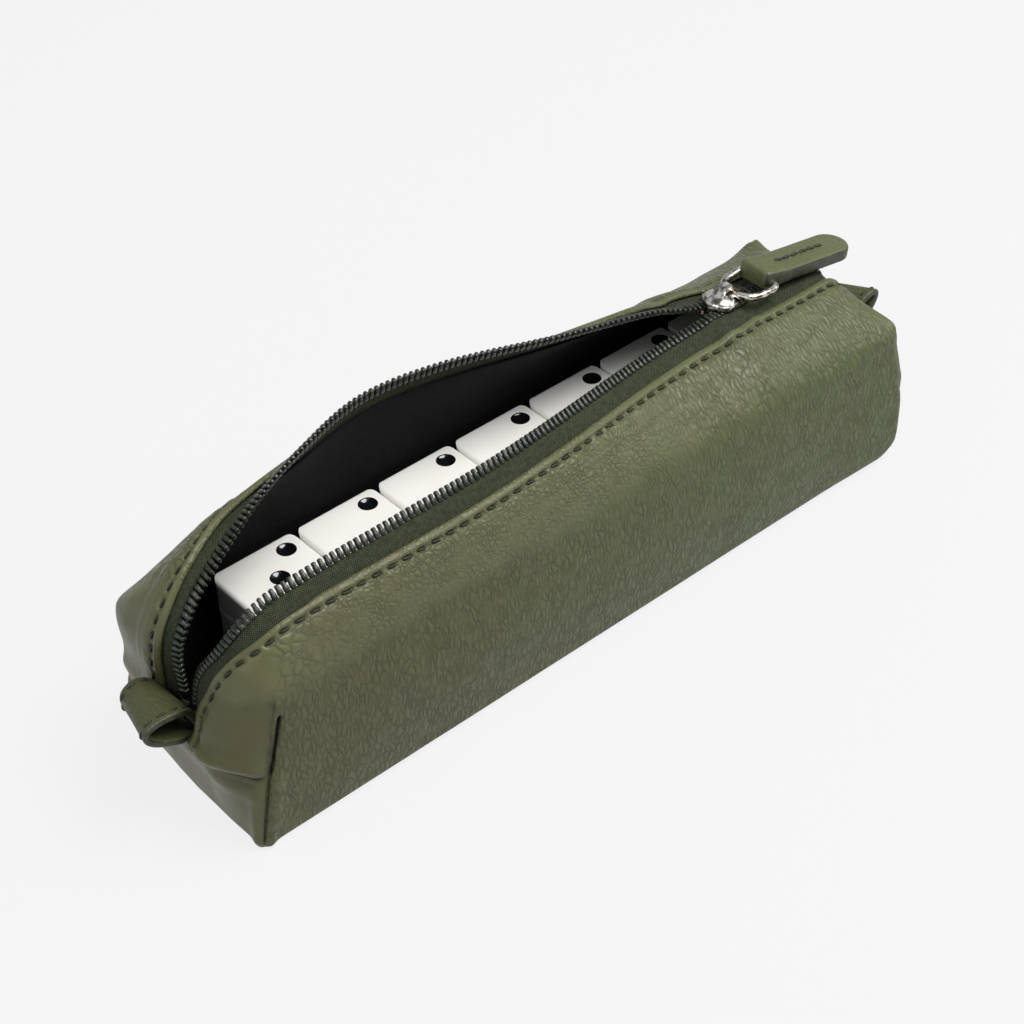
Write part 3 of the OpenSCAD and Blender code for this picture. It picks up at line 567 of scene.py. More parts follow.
class Shade:
    """A number, colour or vector on its way through a material's nodes."""

    def __init__(self, tree, socket):
        self.tree, self.socket = tree, socket

    def worked(self, operation, *values):
        return node(self.tree, "ShaderNodeMath", {"operation": operation}, *values)

    def __add__(self, other):
        return self.worked("ADD", self, other)

    def __sub__(self, other):
        return self.worked("SUBTRACT", self, other)

    def __rsub__(self, other):
        return self.worked("SUBTRACT", other, self)

    def __mul__(self, other):
        return self.worked("MULTIPLY", self, other)

    __radd__, __rmul__ = __add__, __mul__

    def sine(self):
        return self.worked("SINE", self)

    def bigger(self, other):
        return self.worked("MAXIMUM", self, other)

    def ramp(self, low, high):
        """0 below low, 1 above high, smooth between."""
        return node(self.tree, "ShaderNodeMapRange", {"interpolation_type": "SMOOTHSTEP"},
                    self, low, high, 0.0, 1.0)

    def tint(self, dark, light):
        """From one colour to another as this goes from 0 to 1."""
        return node(self.tree, "ShaderNodeMix", {"data_type": "RGBA"}, Factor=self, A=dark, B=light)


def node(tree, kind, settings=None, *values, output=None, **named):
    """Adds a node: its settings, then the values or links of its sockets in order, or by name."""
    n = tree.nodes.new(kind)
    for key, value in (settings or {}).items():
        setattr(n, key, value)
    usable = [s for s in n.inputs if s.enabled]
    pairs = list(zip(usable, values))
    pairs += [(next(s for s in usable if s.name == key.replace("_", " ")), v) for key, v in named.items()]
    for socket, value in pairs:
        if isinstance(value, Shade):
            tree.links.new(value.socket, socket)
        elif socket.type == "RGBA" and len(value) == 3:
            socket.default_value = (*value, 1)
        else:
            socket.default_value = value
    return Shade(tree, next(s for s in n.outputs if s.enabled and output in (None, s.name)))


def rgb(code):
    """Linear colour of a six-digit screen colour."""
    c = [int(code[i:i + 2], 16) / 255 for i in (0, 2, 4)]
    return tuple(v / 12.92 if v <= 0.04045 else ((v + 0.055) / 1.055) ** 2.4 for v in c)


def finish_of(name, dress, **fixed):
    """A material of one Principled shader: fixed sets its sockets, dress(tree) those that vary."""
    material = bpy.data.materials.new(name)
    material.use_nodes = True
    tree = material.node_tree
    shader = tree.nodes["Principled BSDF"]
    for key, value in fixed.items():
        shader.inputs[key.replace("_", " ")].default_value = value
    for key, value in dress(tree).items():
        tree.links.new(value.socket, shader.inputs[key.replace("_", " ")])
    return material


def here(tree):
    """Place on the object in metres."""
    return node(tree, "ShaderNodeTexCoord", output="Object")


def part_of(tree, vector, axis):
    return node(tree, "ShaderNodeSeparateXYZ", None, vector, output=axis)


def stretched(tree, place, size):
    """Place measured in lumps of that size in millimetres, or of a size along each axis."""
    scale = tuple(1000 / s for s in np.broadcast_to(size, 3).tolist())
    return node(tree, "ShaderNodeMapping", Vector=place, Scale=scale)


def lumps(tree, place, size, detail, rough=0.5, output=None):
    """Smooth noise from 0 to 1, or as a colour, with lumps of that size in millimetres."""
    return node(tree, "ShaderNodeTexNoise", Vector=stretched(tree, place, size), Scale=1.0, Detail=detail,
                Roughness=rough, output=output)


def raised(tree, height, depth):
    return node(tree, "ShaderNodeBump", Strength=1.0, Distance=depth, Height=height)


def plates(tree, place, size, width):
    """A net of fine creases round cells of that size: 0 in the creases, 1 on the plates between."""
    away = node(tree, "ShaderNodeTexVoronoi", {"feature": "DISTANCE_TO_EDGE"}, Scale=1.0,
                Vector=stretched(tree, place, size), output="Distance")
    return 0.3 * away.ramp(0.0, width) + 0.7 * away.ramp(0.0, 4.5 * width)


# where the grain changes, in metres: up over the fold, where the top is also lightened as painted light
# from above, from the open end to the slider's end, and towards the open end, where it is coarse
fold_low, fold_high, fold_wander = 0.046, 0.051, 0.012
round_to, upright_from = 0.005, 0.04
coarse_from, coarse_to = -0.066, -0.09
grain_wander, grain_deep = 0.0026, 0.00026
# in millimetres: the plates of the coarse and of the fine grain, and the upright wrinkles
coarse_plate, fine_plate, wrinkle, pore = 2.5, 1.35, (1.3, 3.4, 3.4), (0.6, 0.6, 0.9)
# the third colour is painted light: a paler olive that the top over the fold is lightened towards, as light
# from above would
deep_olive, green_olive, top_lit_olive, shade_colour = rgb("48462a"), rgb("49502f"), rgb("6c6c4c"), rgb("1c1c18")
top_light_share, crease_shade_share = 0.28, 0.27


def calf(tree, plain, shade, coarse=0.0):
    """Olive calf leather, lightened over the fold as painted light and darkened in its creases as painted
    shade. plain is 1 where the grain is pressed nearly smooth, shade is painted shade in the seams or over a
    whole piece.
    """
    place = here(tree)
    bent = node(tree, "ShaderNodeVectorMath", {"operation": "MULTIPLY_ADD"},
                lumps(tree, place, 3.6, 1.5, output="Color"), (grain_wander,) * 3, place)
    # round plates at the top, drawn out into upright wrinkles down the walls
    along = part_of(tree, place, "X")
    # high is the top over the fold: there the grain is round, and the colour is lightened as painted light
    high = (part_of(tree, place, "Z") + fold_wander * lumps(tree, place, 8, 2)).ramp(fold_low, fold_high)
    round_share = high * (1 - along.ramp(round_to, upright_from))
    fine = plates(tree, bent, fine_plate, 0.1)
    round_ones = coarse * plates(tree, bent, coarse_plate, 0.07) + (1 - coarse) * fine
    drawn = round_share * round_ones + (1 - round_share) * plates(tree, bent, wrinkle, 0.09)
    patchy = 0.55 + 0.45 * lumps(tree, place, 4, 2).ramp(0.35, 0.6)
    net = (1 - drawn) * patchy * (1 - 0.85 * plain)
    mottle = lumps(tree, place, 20, 4, 0.6)
    dye = (0.6 * along.ramp(-0.09, 0.07) + 0.4 * mottle.ramp(0.3, 0.7)).tint(deep_olive, green_olive)
    # painted shade: the grain's creases, and the seams, holes and slit, are darkened towards a near-black
    # olive
    dark = (crease_shade_share * net + shade).tint((1, 1, 1), shade_colour)
    # painted light: the top over the fold is lightened towards a paler olive, as if lit from above
    colour = node(tree, "ShaderNodeMix", {"data_type": "RGBA", "blend_type": "MULTIPLY"}, Factor=1.0,
                  A=(top_light_share * high).tint(dye, top_lit_olive), B=dark)
    return {"Base_Color": colour, "Roughness": 0.33 + 0.2 * net + 0.1 * mottle + 0.4 * shade,
            "Normal": raised(tree, 0.2 * lumps(tree, bent, pore, 2) - net, grain_deep)}


def leather_dress(tree):
    at = node(tree, "ShaderNodeTexCoord", output="UV")
    return calf(tree, part_of(tree, at, "X"), part_of(tree, at, "Y"),
                part_of(tree, here(tree), "X").ramp(coarse_from, coarse_to))


leather = finish_of("olive_leather", leather_dress, Specular_IOR_Level=0.36)
case_leather.data.materials.append(leather)
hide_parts("leather_body")
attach(case_leather, "case")

# ---------------------------------------------------------------- the stitching
# Two lock-stitched rows of waxed thread hold the turned edges down, one along each lip from
# end seam to end seam. Each stitch is a short bar of thread that dips into a hole at each end.
thread_r, stitch_l = 0.25, 2.5


def at_lengths(lengths, run, values):
    """What goes with the points of a line, at lengths along it."""
    return np.stack([np.interp(lengths, run, v) for v in values.T], -1)


def tube_grid(path, up, radius):
    """Rings of eight points round a path, each with its own radius."""
    along = unit(np.gradient(path, axis=0))
    beside = unit(np.cross(along, up))
    over = np.cross(beside, along)
    a = np.linspace(0, 2 * pi, 9)[None, :, None]
    return path[:, None] + radius[:, None, None] * (np.cos(a) * beside[:, None] + np.sin(a) * over[:, None])


def stitches(name, line, normal, pitch, length, radius, sink=0.0, slant=0.0):
    """A row of stitches along a line on a surface. Each rises from its hole, and lies at a slant."""
    run, t, grids = run_of(line), np.linspace(0, 1, 9), []
    hump = np.sin(pi * t)
    rise = radius * (1.5 * hump ** 0.6 - 1.1) - sink
    swell = radius * np.clip(4 * hump, 0.02, 1) ** 0.5
    middle = pitch / 2
    while middle + length / 2 < run[-1]:
        lengths = middle + (t - 0.5) * length
        path, up = at_lengths(lengths, run, line), at_lengths(lengths, run, normal)
        beside = unit(np.cross(path[-1] - path[0], up[4]))
        grids.append(tube_grid(path + rise[:, None] * up + slant * (t - 0.5)[:, None] * beside, up, swell))
        middle += pitch
    return weld(name, grids)


def thread_dress(tree):
    twist = lumps(tree, here(tree), 0.5, 1)
    return {"Base_Color": twist.ramp(0.35, 0.65).tint(rgb("15160f"), rgb("272a1d")),
            "Normal": raised(tree, twist, 0.0001)}


thread = finish_of("waxed_thread", thread_dress, Roughness=0.6)
for side, name in ((-1, "front_stitching"), (1, "back_stitching")):
    line, up, _ = row_in(side, stitch_in)
    row = stitches(name, line, up, stitch_pitch, stitch_l, thread_r, sink=0.16, slant=0.4)
    row.data.materials.append(thread)
    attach(row, "case")

# ---------------------------------------------------------------- the lining
# A bag of thin black cloth, cut to the same pattern as the leather but from one layer of plain
# weave. It hangs loose inside the leather and is sewn in along the zip, under the tapes.
lining_gap, lining_t = 0.2, 0.5
lining_out = leather_t + lining_gap
under_tape = leather_t + tape_t + tape_gap + lining_gap
lining_past = 0.6                  # how far it reaches past the leather's plain edge


def lining_strips(depth, edge_depth, past):
    return skin_strips(120, 16, 20, depth, edge_depth, past)


grids, _ = skin(lining_strips, outer=(lining_out, under_tape),
                inner=(lining_out + lining_t, under_tape + lining_t), past=lining_past, edge_steps=3)
lining = weld("lining_bag", grids)


def lining_dress(tree):
    weave = lumps(tree, here(tree), (0.35, 3, 3), 1) * lumps(tree, here(tree), (3, 3, 0.35), 1)
    return {"Base_Color": weave.ramp(0.15, 0.4).tint(rgb("030304"), rgb("0c0c0f")),
            "Normal": raised(tree, weave, 0.0002)}


black_cloth = finish_of("black_cloth", lining_dress, Roughness=0.9, Specular_IOR_Level=0.2)
lining.data.materials.append(black_cloth)
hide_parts("lining")
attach(lining, "case")

# ---------------------------------------------------------------- the zip's tapes
# Two woven tapes, dyed to match the leather, carry the teeth. Each is sewn in between the
# leather's turned edge and the lining, and its inner part lies flat where the zip is closed.
tape_in = 2.1                      # how far inside the line of the teeth its edge is
weft_pitch, warp_pitch = 0.56, 0.62


def tape_grid(side):
    """A tape as one closed tube of points, and its two end caps."""
    on_ends = np.linspace(0.02, 1, 60)
    g = np.concatenate([-1 - on_ends[::-1], np.linspace(-1, 1, 700), 1 + on_ends])
    place, tilt = along_lip(side, g)
    inner = inner_tilt(g, tilt)

    def line(up, k):
        """k: 0 and 1 under the leather, 2 at its edge, 3 at the fold of the tape, 4 at the teeth."""
        h = np.broadcast_to(up * tape_t / 2, g.shape)[:, None]
        d = edge_lift - up * tape_t / 2
        if k < 2:
            return band(side, g, 0.78 + 0.11 * k, d, d)
        if k == 2:
            return lip_edge(side, g, d)
        if k == 3:
            return tape_mid(side, g) + h * tape_up(side, g, (tilt + inner) / 2)
        return place - tape_in * tape_dir(side, g, inner) + h * tape_up(side, g, inner)

    def full(up):
        rows = [line(up, k) for k in range(5)]
        cols = []
        for k, steps in enumerate((2, 3, 4, 4)):
            cols += [mix(rows[k], rows[k + 1], t) for t in np.linspace(0, 1, steps, endpoint=False)]
        return np.stack(cols + [rows[4]], 1)

    top, under = full(1), full(-1)
    ring = np.concatenate([top, under[:, ::-1], top[:, :1]], 1)
    caps = [np.stack([top[i], under[i]]) for i in (0, -1)]
    return ring, caps


def tape_piece(name, side):
    """A tape with a map of its length and breadth at each point, so that the weave can follow it."""
    ring, caps = tape_grid(side)
    run = np.repeat(run_of(ring[:, 0])[:, None], ring.shape[1], 1)
    laid = np.stack([run, from_edge(ring)], -1)
    ends = [laid[i, :2 * caps[0].shape[1]].reshape(2, -1, 2) for i in (0, -1)]
    grids, facts = ([tube, flipped(first), last] if side < 0 else [flipped(tube), first, flipped(last)]
                    for tube, first, last in ((ring, *caps), (laid, *ends)))
    piece, where = weld(name, grids, facts)
    lay_map(piece, "weave", where * MM)
    return piece


def tape_dress(tree):
    at = node(tree, "ShaderNodeTexCoord", output="UV")
    course = (part_of(tree, at, "X") * (2 * pi / (weft_pitch * MM))).sine()
    wale = (part_of(tree, at, "Y") * (2 * pi / (warp_pitch * MM))).sine()
    weave = 0.5 + 0.4 * course * wale + 0.08 * wale + 0.7 * (lumps(tree, here(tree), 1.0, 2) - 0.5)
    return {"Base_Color": weave.ramp(0.1, 0.9).tint(rgb("0e100a"), rgb("41462f")),
            "Normal": raised(tree, weave, 0.00022)}


tape_cloth = finish_of("olive_tape", tape_dress, Roughness=0.85, Specular_IOR_Level=0.3)
for side, name, stands_for in ((-1, "front_tape", "tape_front"), (1, "back_tape", "tape_back")):
    piece = tape_piece(name, side)
    piece.data.materials.append(tape_cloth)
    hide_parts(stands_for)
    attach(piece, "case")

# ---------------------------------------------------------------- the zip's teeth and stops
# Small teeth are moulded on the edge of each tape: two legs grip it, and a waist joins them to a
# round head. Beyond the slider the heads of the two sides lie between one another. Metal stops
# are clamped on at the ends of the rows.
tooth_pitch = 1.6
last_tooth = 1.79                  # the station beyond which there are no more
first_locked = 0.64                # the station from which both sides are counted
closing = 0.588                    # where the slider's wedge parts the two sides
tooth_back = 2.4                   # from a tooth's head to the middle of its legs
open_head, locked_head = 0.5, 0.39   # half width of a head; the locked ones share the room
stop_edge = 0.18


def teeth_dress(tree):
    speck = lumps(tree, here(tree), 1.3, 1)
    return {"Base_Color": speck.ramp(0.4, 0.65).tint(rgb("14180f"), rgb("2b3022"))}


tooth_plastic = finish_of("dark_teeth", teeth_dress, Roughness=0.28)


def squarish(wave, power):
    """A sine or cosine drawn out so that a circle made with it comes out a little square."""
    return np.sign(wave) * np.abs(wave) ** power


def closed_ends(rings):
    """Rings with one more at each end, drawn together in the middle."""
    tips = [np.broadcast_to(ring.mean(0), ring.shape)[None] for ring in (rings[0], rings[-1])]
    return np.concatenate([tips[0], rings, tips[1]])


def tooth_rings(head):
    """One tooth as rings along its length: place, half width and half height of each. The head
    has a half width of its own."""
    at = ((-2.3, 0.35, 0.5), (-2.15, 0.58, 0.72), (-1.8, 0.68, 0.82), (-1.4, 0.68, 0.85),
          (-1.0, 0.62, 0.84), (-0.6, head, 0.76), (-0.25, head, 0.7), (0.1, 1.05 * head, 0.7),
          (0.34, 0.85 * head, 0.58), (0.45, 0.4 * head, 0.3))
    a = np.linspace(0, 2 * pi, 15)
    over, beside = squarish(np.sin(a), 0.75), squarish(np.cos(a), 0.75)
    return closed_ends(np.stack([np.stack([np.full(15, x), h * over, w * beside], -1) for x, w, h in at]))


def tooth_seat(side, g):
    """Where the teeth at stations g sit: the middle of the head, the way to it, and the legs."""
    place, tilt = along_lip(side, g)
    inwards = tape_dir(side, g, inner_tilt(g, tilt))
    return place, inwards, place - tooth_back * inwards


def teeth_of(name, rows, head):
    """The teeth of one or two sides: rows of (side, way along the zip, first and last station).
    The teeth of one side stand half a pitch further on than those of the other."""
    shape, grids = tooth_rings(head), []
    for side, way, first_g, last_g in rows:
        g = mix(-last_tooth, last_tooth, np.linspace(0, 1, 2001))
        run = run_of(along_lip(side, g)[0])
        start = np.interp(first_locked, g, run)
        phase = 0.25 if side < 0 else 0.75
        room = start if way < 0 else run[-1] - start
        count = np.arange(int(room / tooth_pitch - phase)) + (1 - phase if way < 0 else phase)
        at = np.interp(start + way * count * tooth_pitch, run, g)
        at = at[(at >= first_g) & (at < last_g)]
        place, inwards, _ = tooth_seat(side, at)
        lead = tooth_seat(side, at + 0.004)[2] - tooth_seat(side, at - 0.004)[2]
        lead = unit(lead - (lead * inwards).sum(1)[:, None] * inwards)
        for o, x, y, z in zip(place, inwards, np.cross(lead, inwards), lead):
            grids.append(o + shape @ np.stack([x, y, z]))
    return weld(name, grids)


both_sides = [(side, way, closing, 2) for side in (-1, 1) for way in (-1, 1)]
for name, stands_for, rows, head in (("front_teeth", "teeth_front", [(-1, -1, -2, closing)], open_head),
                                     ("back_teeth", "teeth_back", [(1, -1, -2, closing)], open_head),
                                     ("closed_teeth", "teeth_closed", both_sides, locked_head)):
    piece = teeth_of(name, rows, head)
    piece.data.materials.append(tooth_plastic)
    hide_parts(stands_for)
    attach(piece, "case")


def dressed(name, material, width, segments=2):
    """A piece of the frame in its own material, with its edges rounded by a width."""
    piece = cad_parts[name]
    piece.data.materials.clear()
    piece.data.materials.append(material)
    bevel = piece.modifiers.new("rounded", "BEVEL")
    bevel.width, bevel.segments = width * MM, segments
    bevel.limit_method, bevel.angle_limit = "ANGLE", radians(25)
    piece.data.shade_smooth()


def stop_dress(tree):
    worn = lumps(tree, here(tree), 0.8, 2)
    return {"Base_Color": worn.tint(rgb("55513f"), rgb("84806e")), "Roughness": 0.25 + 0.3 * worn}


stop_metal = finish_of("stop_metal", stop_dress, Metallic=1.0)
for name in ("top_stops", "bottom_stop"):
    dressed(name, stop_metal, stop_edge)

# ---------------------------------------------------------------- the slider and its ring
# The slider is cast and nickel plated: a body that closes the teeth, a swelling nose and a bridge
# over them. The ring is thick round wire, bent and closed with the bridge inside it.
slider_edge = 0.3


def nickel_dress(tree):
    pits = lumps(tree, here(tree), 1.9, 3)
    return {"Base_Color": pits.ramp(0.35, 0.62).tint(rgb("75695c"), rgb("f0ece4")),
            "Roughness": 0.14 + 0.14 * pits, "Normal": raised(tree, pits, 0.00015)}


nickel = finish_of("nickel", nickel_dress, Metallic=1.0)
dressed("slider_body", nickel, slider_edge, 3)
slider_middle = Vector((slider_x, zip_off, closed_z(slider_x)))
slider_at = Matrix.Translation(slider_middle * MM) @ Matrix.Rotation(zip_fall, 4, "Y")


def cast(name, grid):
    """A closed nickel casting on the slider, from a grid whose last column is its first."""
    piece = weld(name, [closed_ends(grid)])
    piece.data.transform(slider_at)
    piece.data.materials.append(nickel)
    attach(piece, "slider")


# the nose swells up like half an egg, and the bridge springs from it to the tail
nose_at, nose_l, nose_w, nose_h, plate_z = -1.9, 4.1, 4.7, 2.5, 1.5
lift, turn = np.linspace(pi / 2 - 0.08, 0, 14)[:, None], np.linspace(0, 2 * pi, 41)[None]
dome = np.stack([nose_at + nose_l * np.cos(lift) * np.cos(turn), nose_w * np.cos(lift) * np.sin(turn),
                 plate_z + nose_h * np.sin(lift) + 0 * turn], -1)
nose_skirt = 0.5                   # how far the nose goes on down into the body
cast("slider_nose", np.concatenate([dome, dome[-1:] - (0, 0, nose_skirt)]))
arch_r, arch_t, arch_w, foot_w, arch_z, arch_square = 2.86, 0.62, 1.5, 2.7, 2.2, 0.7
swing, edge = np.linspace(0, pi, 33)[:, None], np.linspace(0, 2 * pi, 25)[None]
out = arch_r + arch_t * squarish(np.sin(edge), arch_square)
wide = mix(arch_w, foot_w, np.abs(np.cos(swing)) ** 3) * squarish(np.cos(edge), arch_square)
cast("slider_bridge", np.stack([out * np.cos(swing), wide, arch_z + out * np.sin(swing)], -1))

# the ring lies flat: its round end is under the bridge and its straight bar is in the tab's fold
wire_r, ring_z = 1.0, 56.4
ring_path = np.array([(67.9, 0.6), (68.0, -1.4), (68.5, -3.3), (69.8, -5.0), (71.9, -5.9), (74.6, -6.2),
                      (76.9, -6.0), (77.9, -4.9), (77.9, -2.0), (77.8, 2.5), (77.6, 4.4), (76.6, 5.3),
                      (74.3, 5.5), (71.6, 5.3), (69.7, 4.4), (68.4, 2.7), (67.9, 0.6)])


def smooth_path(points, n):
    """A smooth curve through points, with n points at even steps."""
    t = np.linspace(0, len(points) - 1, 40 * len(points))
    i = np.clip(t.astype(int), 0, len(points) - 2)
    slope = np.gradient(points, axis=0)
    fine = curve_between(points[i], points[i + 1], slope[i], slope[i + 1], (t - i)[:, None])
    run = run_of(fine)
    return at_lengths(np.linspace(0, run[-1], n), run, fine)


middle = np.column_stack([smooth_path(ring_path, 121), np.full(121, ring_z)])
along = np.gradient(middle, axis=0)
along[0] = along[-1] = along[0] + along[-1]
beside, over = unit(np.cross((0, 0, 1.0), along))[:, None], np.array((0, 0, 1.0))
around = np.linspace(0, 2 * pi, 21)[None, :, None]
ring = weld("pull_ring_wire", [middle[:, None] + wire_r * (np.cos(around) * beside + np.sin(around) * over)])
ring.data.materials.append(nickel)
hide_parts("pull_ring")
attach(ring, "ring")

# ---------------------------------------------------------------- the pull tab
# A strip of the same leather, folded round the ring and sewn down its middle. Its cut edges
# are rounded and painted dark green.
tab_l, tab_w, tab_t = 33.8, 10.2, 3.7
tab_back = 1.5                     # how far the fold reaches beyond the ring's bar
bar_in = 0.7                       # of the middle of that bar, in the ring
tab_up, tab_fall = 0.7, radians(9.5)
tab_round = 0.9                    # of its cut edges
fold_cut = 0.8                     # cut off the corners of its folded end
fold_thick = 0.4                   # how much thicker it is, as a share, where it goes round the ring
tab_row_from, tab_row_to, tab_row_wander = 6.0, 26.0, 0.15
tab_pitch, tab_stitch, tab_thread_r = 3.1, 2.7, 0.42
ring_lo, ring_hi = (Vector(c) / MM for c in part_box("pull_ring"))
bar = Vector((ring_hi.x - bar_in, (ring_lo.y + ring_hi.y) / 2, (ring_lo.z + ring_hi.z) / 2))
tab_turn = Matrix.Translation((bar + Vector((0, 0, tab_up))) * MM) @ Matrix.Rotation(tab_fall, 4, "Y")


def edge_dress(tree):
    worn = lumps(tree, here(tree), 2, 3)
    return {"Base_Color": worn.ramp(0.35, 0.7).tint(rgb("23261a"), rgb("36392a")),
            "Roughness": 0.35 + 0.2 * worn}


strap_leather = finish_of("strap_leather", lambda tree: calf(tree, plain=0.6, shade=0.0),
                          Specular_IOR_Level=0.4)
edge_paint = finish_of("painted_edge", edge_dress)


def thicker(x):
    """How much thicker than its plain part the tab is, along it."""
    return 1 + fold_thick * smooth(9, -1, x)


def tab_outline(draw_in):
    """Flat folded end, straight sides and a round tip, drawn in by an amount."""
    r, x0 = tab_w / 2 - draw_in, -tab_back + draw_in
    x1 = tab_l - tab_back - tab_w / 2
    a = np.linspace(-pi / 2, pi / 2, 33)
    tip = np.stack([x1 + r * np.cos(a), r * np.sin(a)], -1)
    top = np.stack([np.linspace(x1, x0 + fold_cut, 24)[1:], np.full(23, r)], -1)
    end = np.stack([np.full(7, x0), np.linspace(r - fold_cut, -r + fold_cut, 7)], -1)
    return np.concatenate([tip, top, end, top[::-1] * (1, -1)])


def tab_grid():
    """Rings from the middle of the under side, round the soft edge, to the middle of the top."""
    turns, rings = np.linspace(0, pi / 2, 5), []
    lower = [(-tab_t / 2 + tab_round * (1 - cos(a)), tab_round * (1 - sin(a))) for a in turns]
    for z, draw_in in lower + [(-z, draw_in) for z, draw_in in lower[::-1]]:
        line = tab_outline(draw_in)
        rings.append(np.column_stack([line, np.full(len(line), z)]))
    halfway = [mix(ring, ring.mean(0), 0.5) for ring in (rings[0], rings[-1])]
    grid = closed_ends(np.stack([halfway[0]] + rings + [halfway[1]]))
    grid[..., 2] *= thicker(grid[..., 0])
    return np.concatenate([grid, grid[:, :1]], 1)


def paint_cut(piece, is_cut):
    """Paints the cut edges of a strap: the faces whose normals pass a test."""
    piece.data.materials.append(edge_paint)
    for face in piece.data.polygons:
        if is_cut(face.normal):
            face.material_index = 1


tab = weld("leather_tab", [tab_grid()])
tab.data.transform(tab_turn)
tab.data.materials.append(strap_leather)
paint_cut(tab, lambda normal: hypot(normal.x, normal.y) > 0.75 and normal.x > -0.7)
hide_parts("pull_tab")
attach(tab, "tab")
row_x = np.linspace(tab_row_from, tab_row_to, 40)
row_y = tab_row_wander * np.sin(1.3 * np.arange(40))
line = np.stack([row_x, row_y, tab_t / 2 * thicker(row_x) + 0.1], -1)
for name, face in (("tab_stitching", 1.0), ("tab_stitching_under", -1.0)):
    out = np.tile((0, 0, face), (40, 1))
    row = stitches(name, line * (1, 1, face), out, tab_pitch, tab_stitch, tab_thread_r)
    row.data.transform(tab_turn)
    row.data.materials.append(thread)
    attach(row, "tab")

# ---------------------------------------------------------------- the loops at the ends
# A short strap at each end is bent round, sewn along both edges, and held in the end seam by its
# two ends. The one at the slider's end stands up more.
loop_w, loop_t, loop_round = 16.5, 1.8, 0.6
loop_waist = 0.22                  # how much narrower it is, as a share, where the seam holds it
loop_in, loop_pitch, loop_stitch, loop_thread_r = 1.7, 3.4, 2.5, 0.3
near_root, far_root, far_lean = half_l + 0.3, half_l - 1.4, 0.38
# how its front and back edges run, seen from the front: out from the end, and up from the seam
loop_front = np.array([(-0.6, 5.2), (1.5, 9.3), (5, 12.0), (9.4, 12.6), (12.4, 12.0), (13.2, 10.6),
                       (12.6, 9.0), (11.0, 7.4), (8.6, 5.9), (5, 4.1), (2, 2.4), (-0.2, 1.0)])
loop_back = np.array([(-1.0, 3.6), (1.7, 8.8), (4, 10.7), (6.2, 11.4), (8.3, 10.4), (9, 8.7), (8.5, 6.2),
                      (6.2, 3.7), (3, 1.7), (-0.2, 0.6)])
# the loops wear the strap's leather with painted shade over all of it (shade=0.16), which makes them darker
# than the tab
shaded_loop_leather = finish_of("shaded_loop_leather", lambda tree: calf(tree, plain=0.6, shade=0.16),
                         Specular_IOR_Level=0.45)


def strap_section():
    """Outline of the strap across: flat faces with rounded cut edges."""
    h, w, out = loop_t / 2 - loop_round, loop_w / 2 - loop_round, []
    for y, z, start in ((w, h, 0), (-w, h, 90), (-w, -h, 180), (w, -h, 270)):
        for a in np.radians(start + np.linspace(0, 90, 6)):
            out.append((y + loop_round * cos(a), z + loop_round * sin(a)))
    return out + out[:1]


def end_loop(name, stands_for, end, root, lean):
    """The loop of one end: end is -1 at the open end and 1 at the slider's. lean tilts it up."""
    edges = [smooth_path(line, 90) for line in (loop_front, loop_back)]
    narrow = 1 - loop_waist * smooth(6, 0, np.abs(edges[0][:, 0]))

    def strap_at(across, raise_by):
        """Points along the strap, at a place across it and a height over its middle, and normals."""
        path = mix(edges[0], edges[1], across / loop_w + 0.5)
        path = path + path[:, :1] * (0, lean)
        along = unit(np.gradient(path, axis=0))
        up = np.stack([-along[:, 1], along[:, 0]], -1)
        x, z = (path + up * raise_by).T
        normal = np.stack([end * up[:, 0], 0 * x, up[:, 1]], -1)
        return np.stack([end * (root + x), zip_off + across * narrow, seam_h + z], -1), normal

    grid = np.stack([strap_at(across, raise_by)[0] for across, raise_by in strap_section()], 1)
    loop = weld(name, [closed_ends(grid)])
    loop.data.materials.append(shaded_loop_leather)
    paint_cut(loop, lambda normal: abs(normal.y) > 0.7)
    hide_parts(stands_for)
    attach(loop, "case")
    for k, edge in enumerate((-1, 1)):
        line, normal = strap_at(edge * (loop_w / 2 - loop_in), loop_t / 2)
        row = stitches(f"{name}_stitching_{k}", line[4:-16], normal[4:-16], loop_pitch, loop_stitch,
                       loop_thread_r)
        row.data.materials.append(thread)
        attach(row, "case")


end_loop("near_loop", "loop_near", -1, near_root, 0.0)
end_loop("far_loop", "loop_far", 1, far_root, far_lean)

# ---------------------------------------------------------------- the dominoes
# Moulded off-white urea, polished, with the pips drilled as shallow hollows and painted black.
# Seven lie across the case in each of four layers, faces up; those of the top layer are loose.
pip_d, pip_depth, pip_step, paint_t = 5.0, 1.0, 7.0, 0.04
pip_r = ((pip_d / 2) ** 2 + pip_depth ** 2) / (2 * pip_depth)
paint_share, paint_clear = 0.985, 0.01   # of the hollow that is painted, and between the two
domino_edge = 0.35


def domino_dress(tree):
    cloud = lumps(tree, here(tree), 14, 3)
    return {"Base_Color": cloud.tint(rgb("e2dfd8"), rgb("efede8")), "Roughness": 0.2 + 0.08 * cloud}


def paint_dress(tree):
    return {"Roughness": 0.08 + 0.1 * lumps(tree, here(tree), 1.5, 2)}


urea = finish_of("off_white_urea", domino_dress, Specular_IOR_Level=0.5)
pip_paint = finish_of("pip_paint", paint_dress, Base_Color=(*rgb("0d0e11"), 1), Coat_Weight=0.5)


def pips_of(count):
    """Where the pips of one half are, from its middle."""
    at = [(0, 0)] if count % 2 else []
    at += [(1, 1), (-1, -1)] if count > 1 else []
    at += [(1, -1), (-1, 1)] if count > 3 else []
    at += [(-1, 0), (1, 0)] if count == 6 else []
    return [(pip_step * x, pip_step * y) for x, y in at]


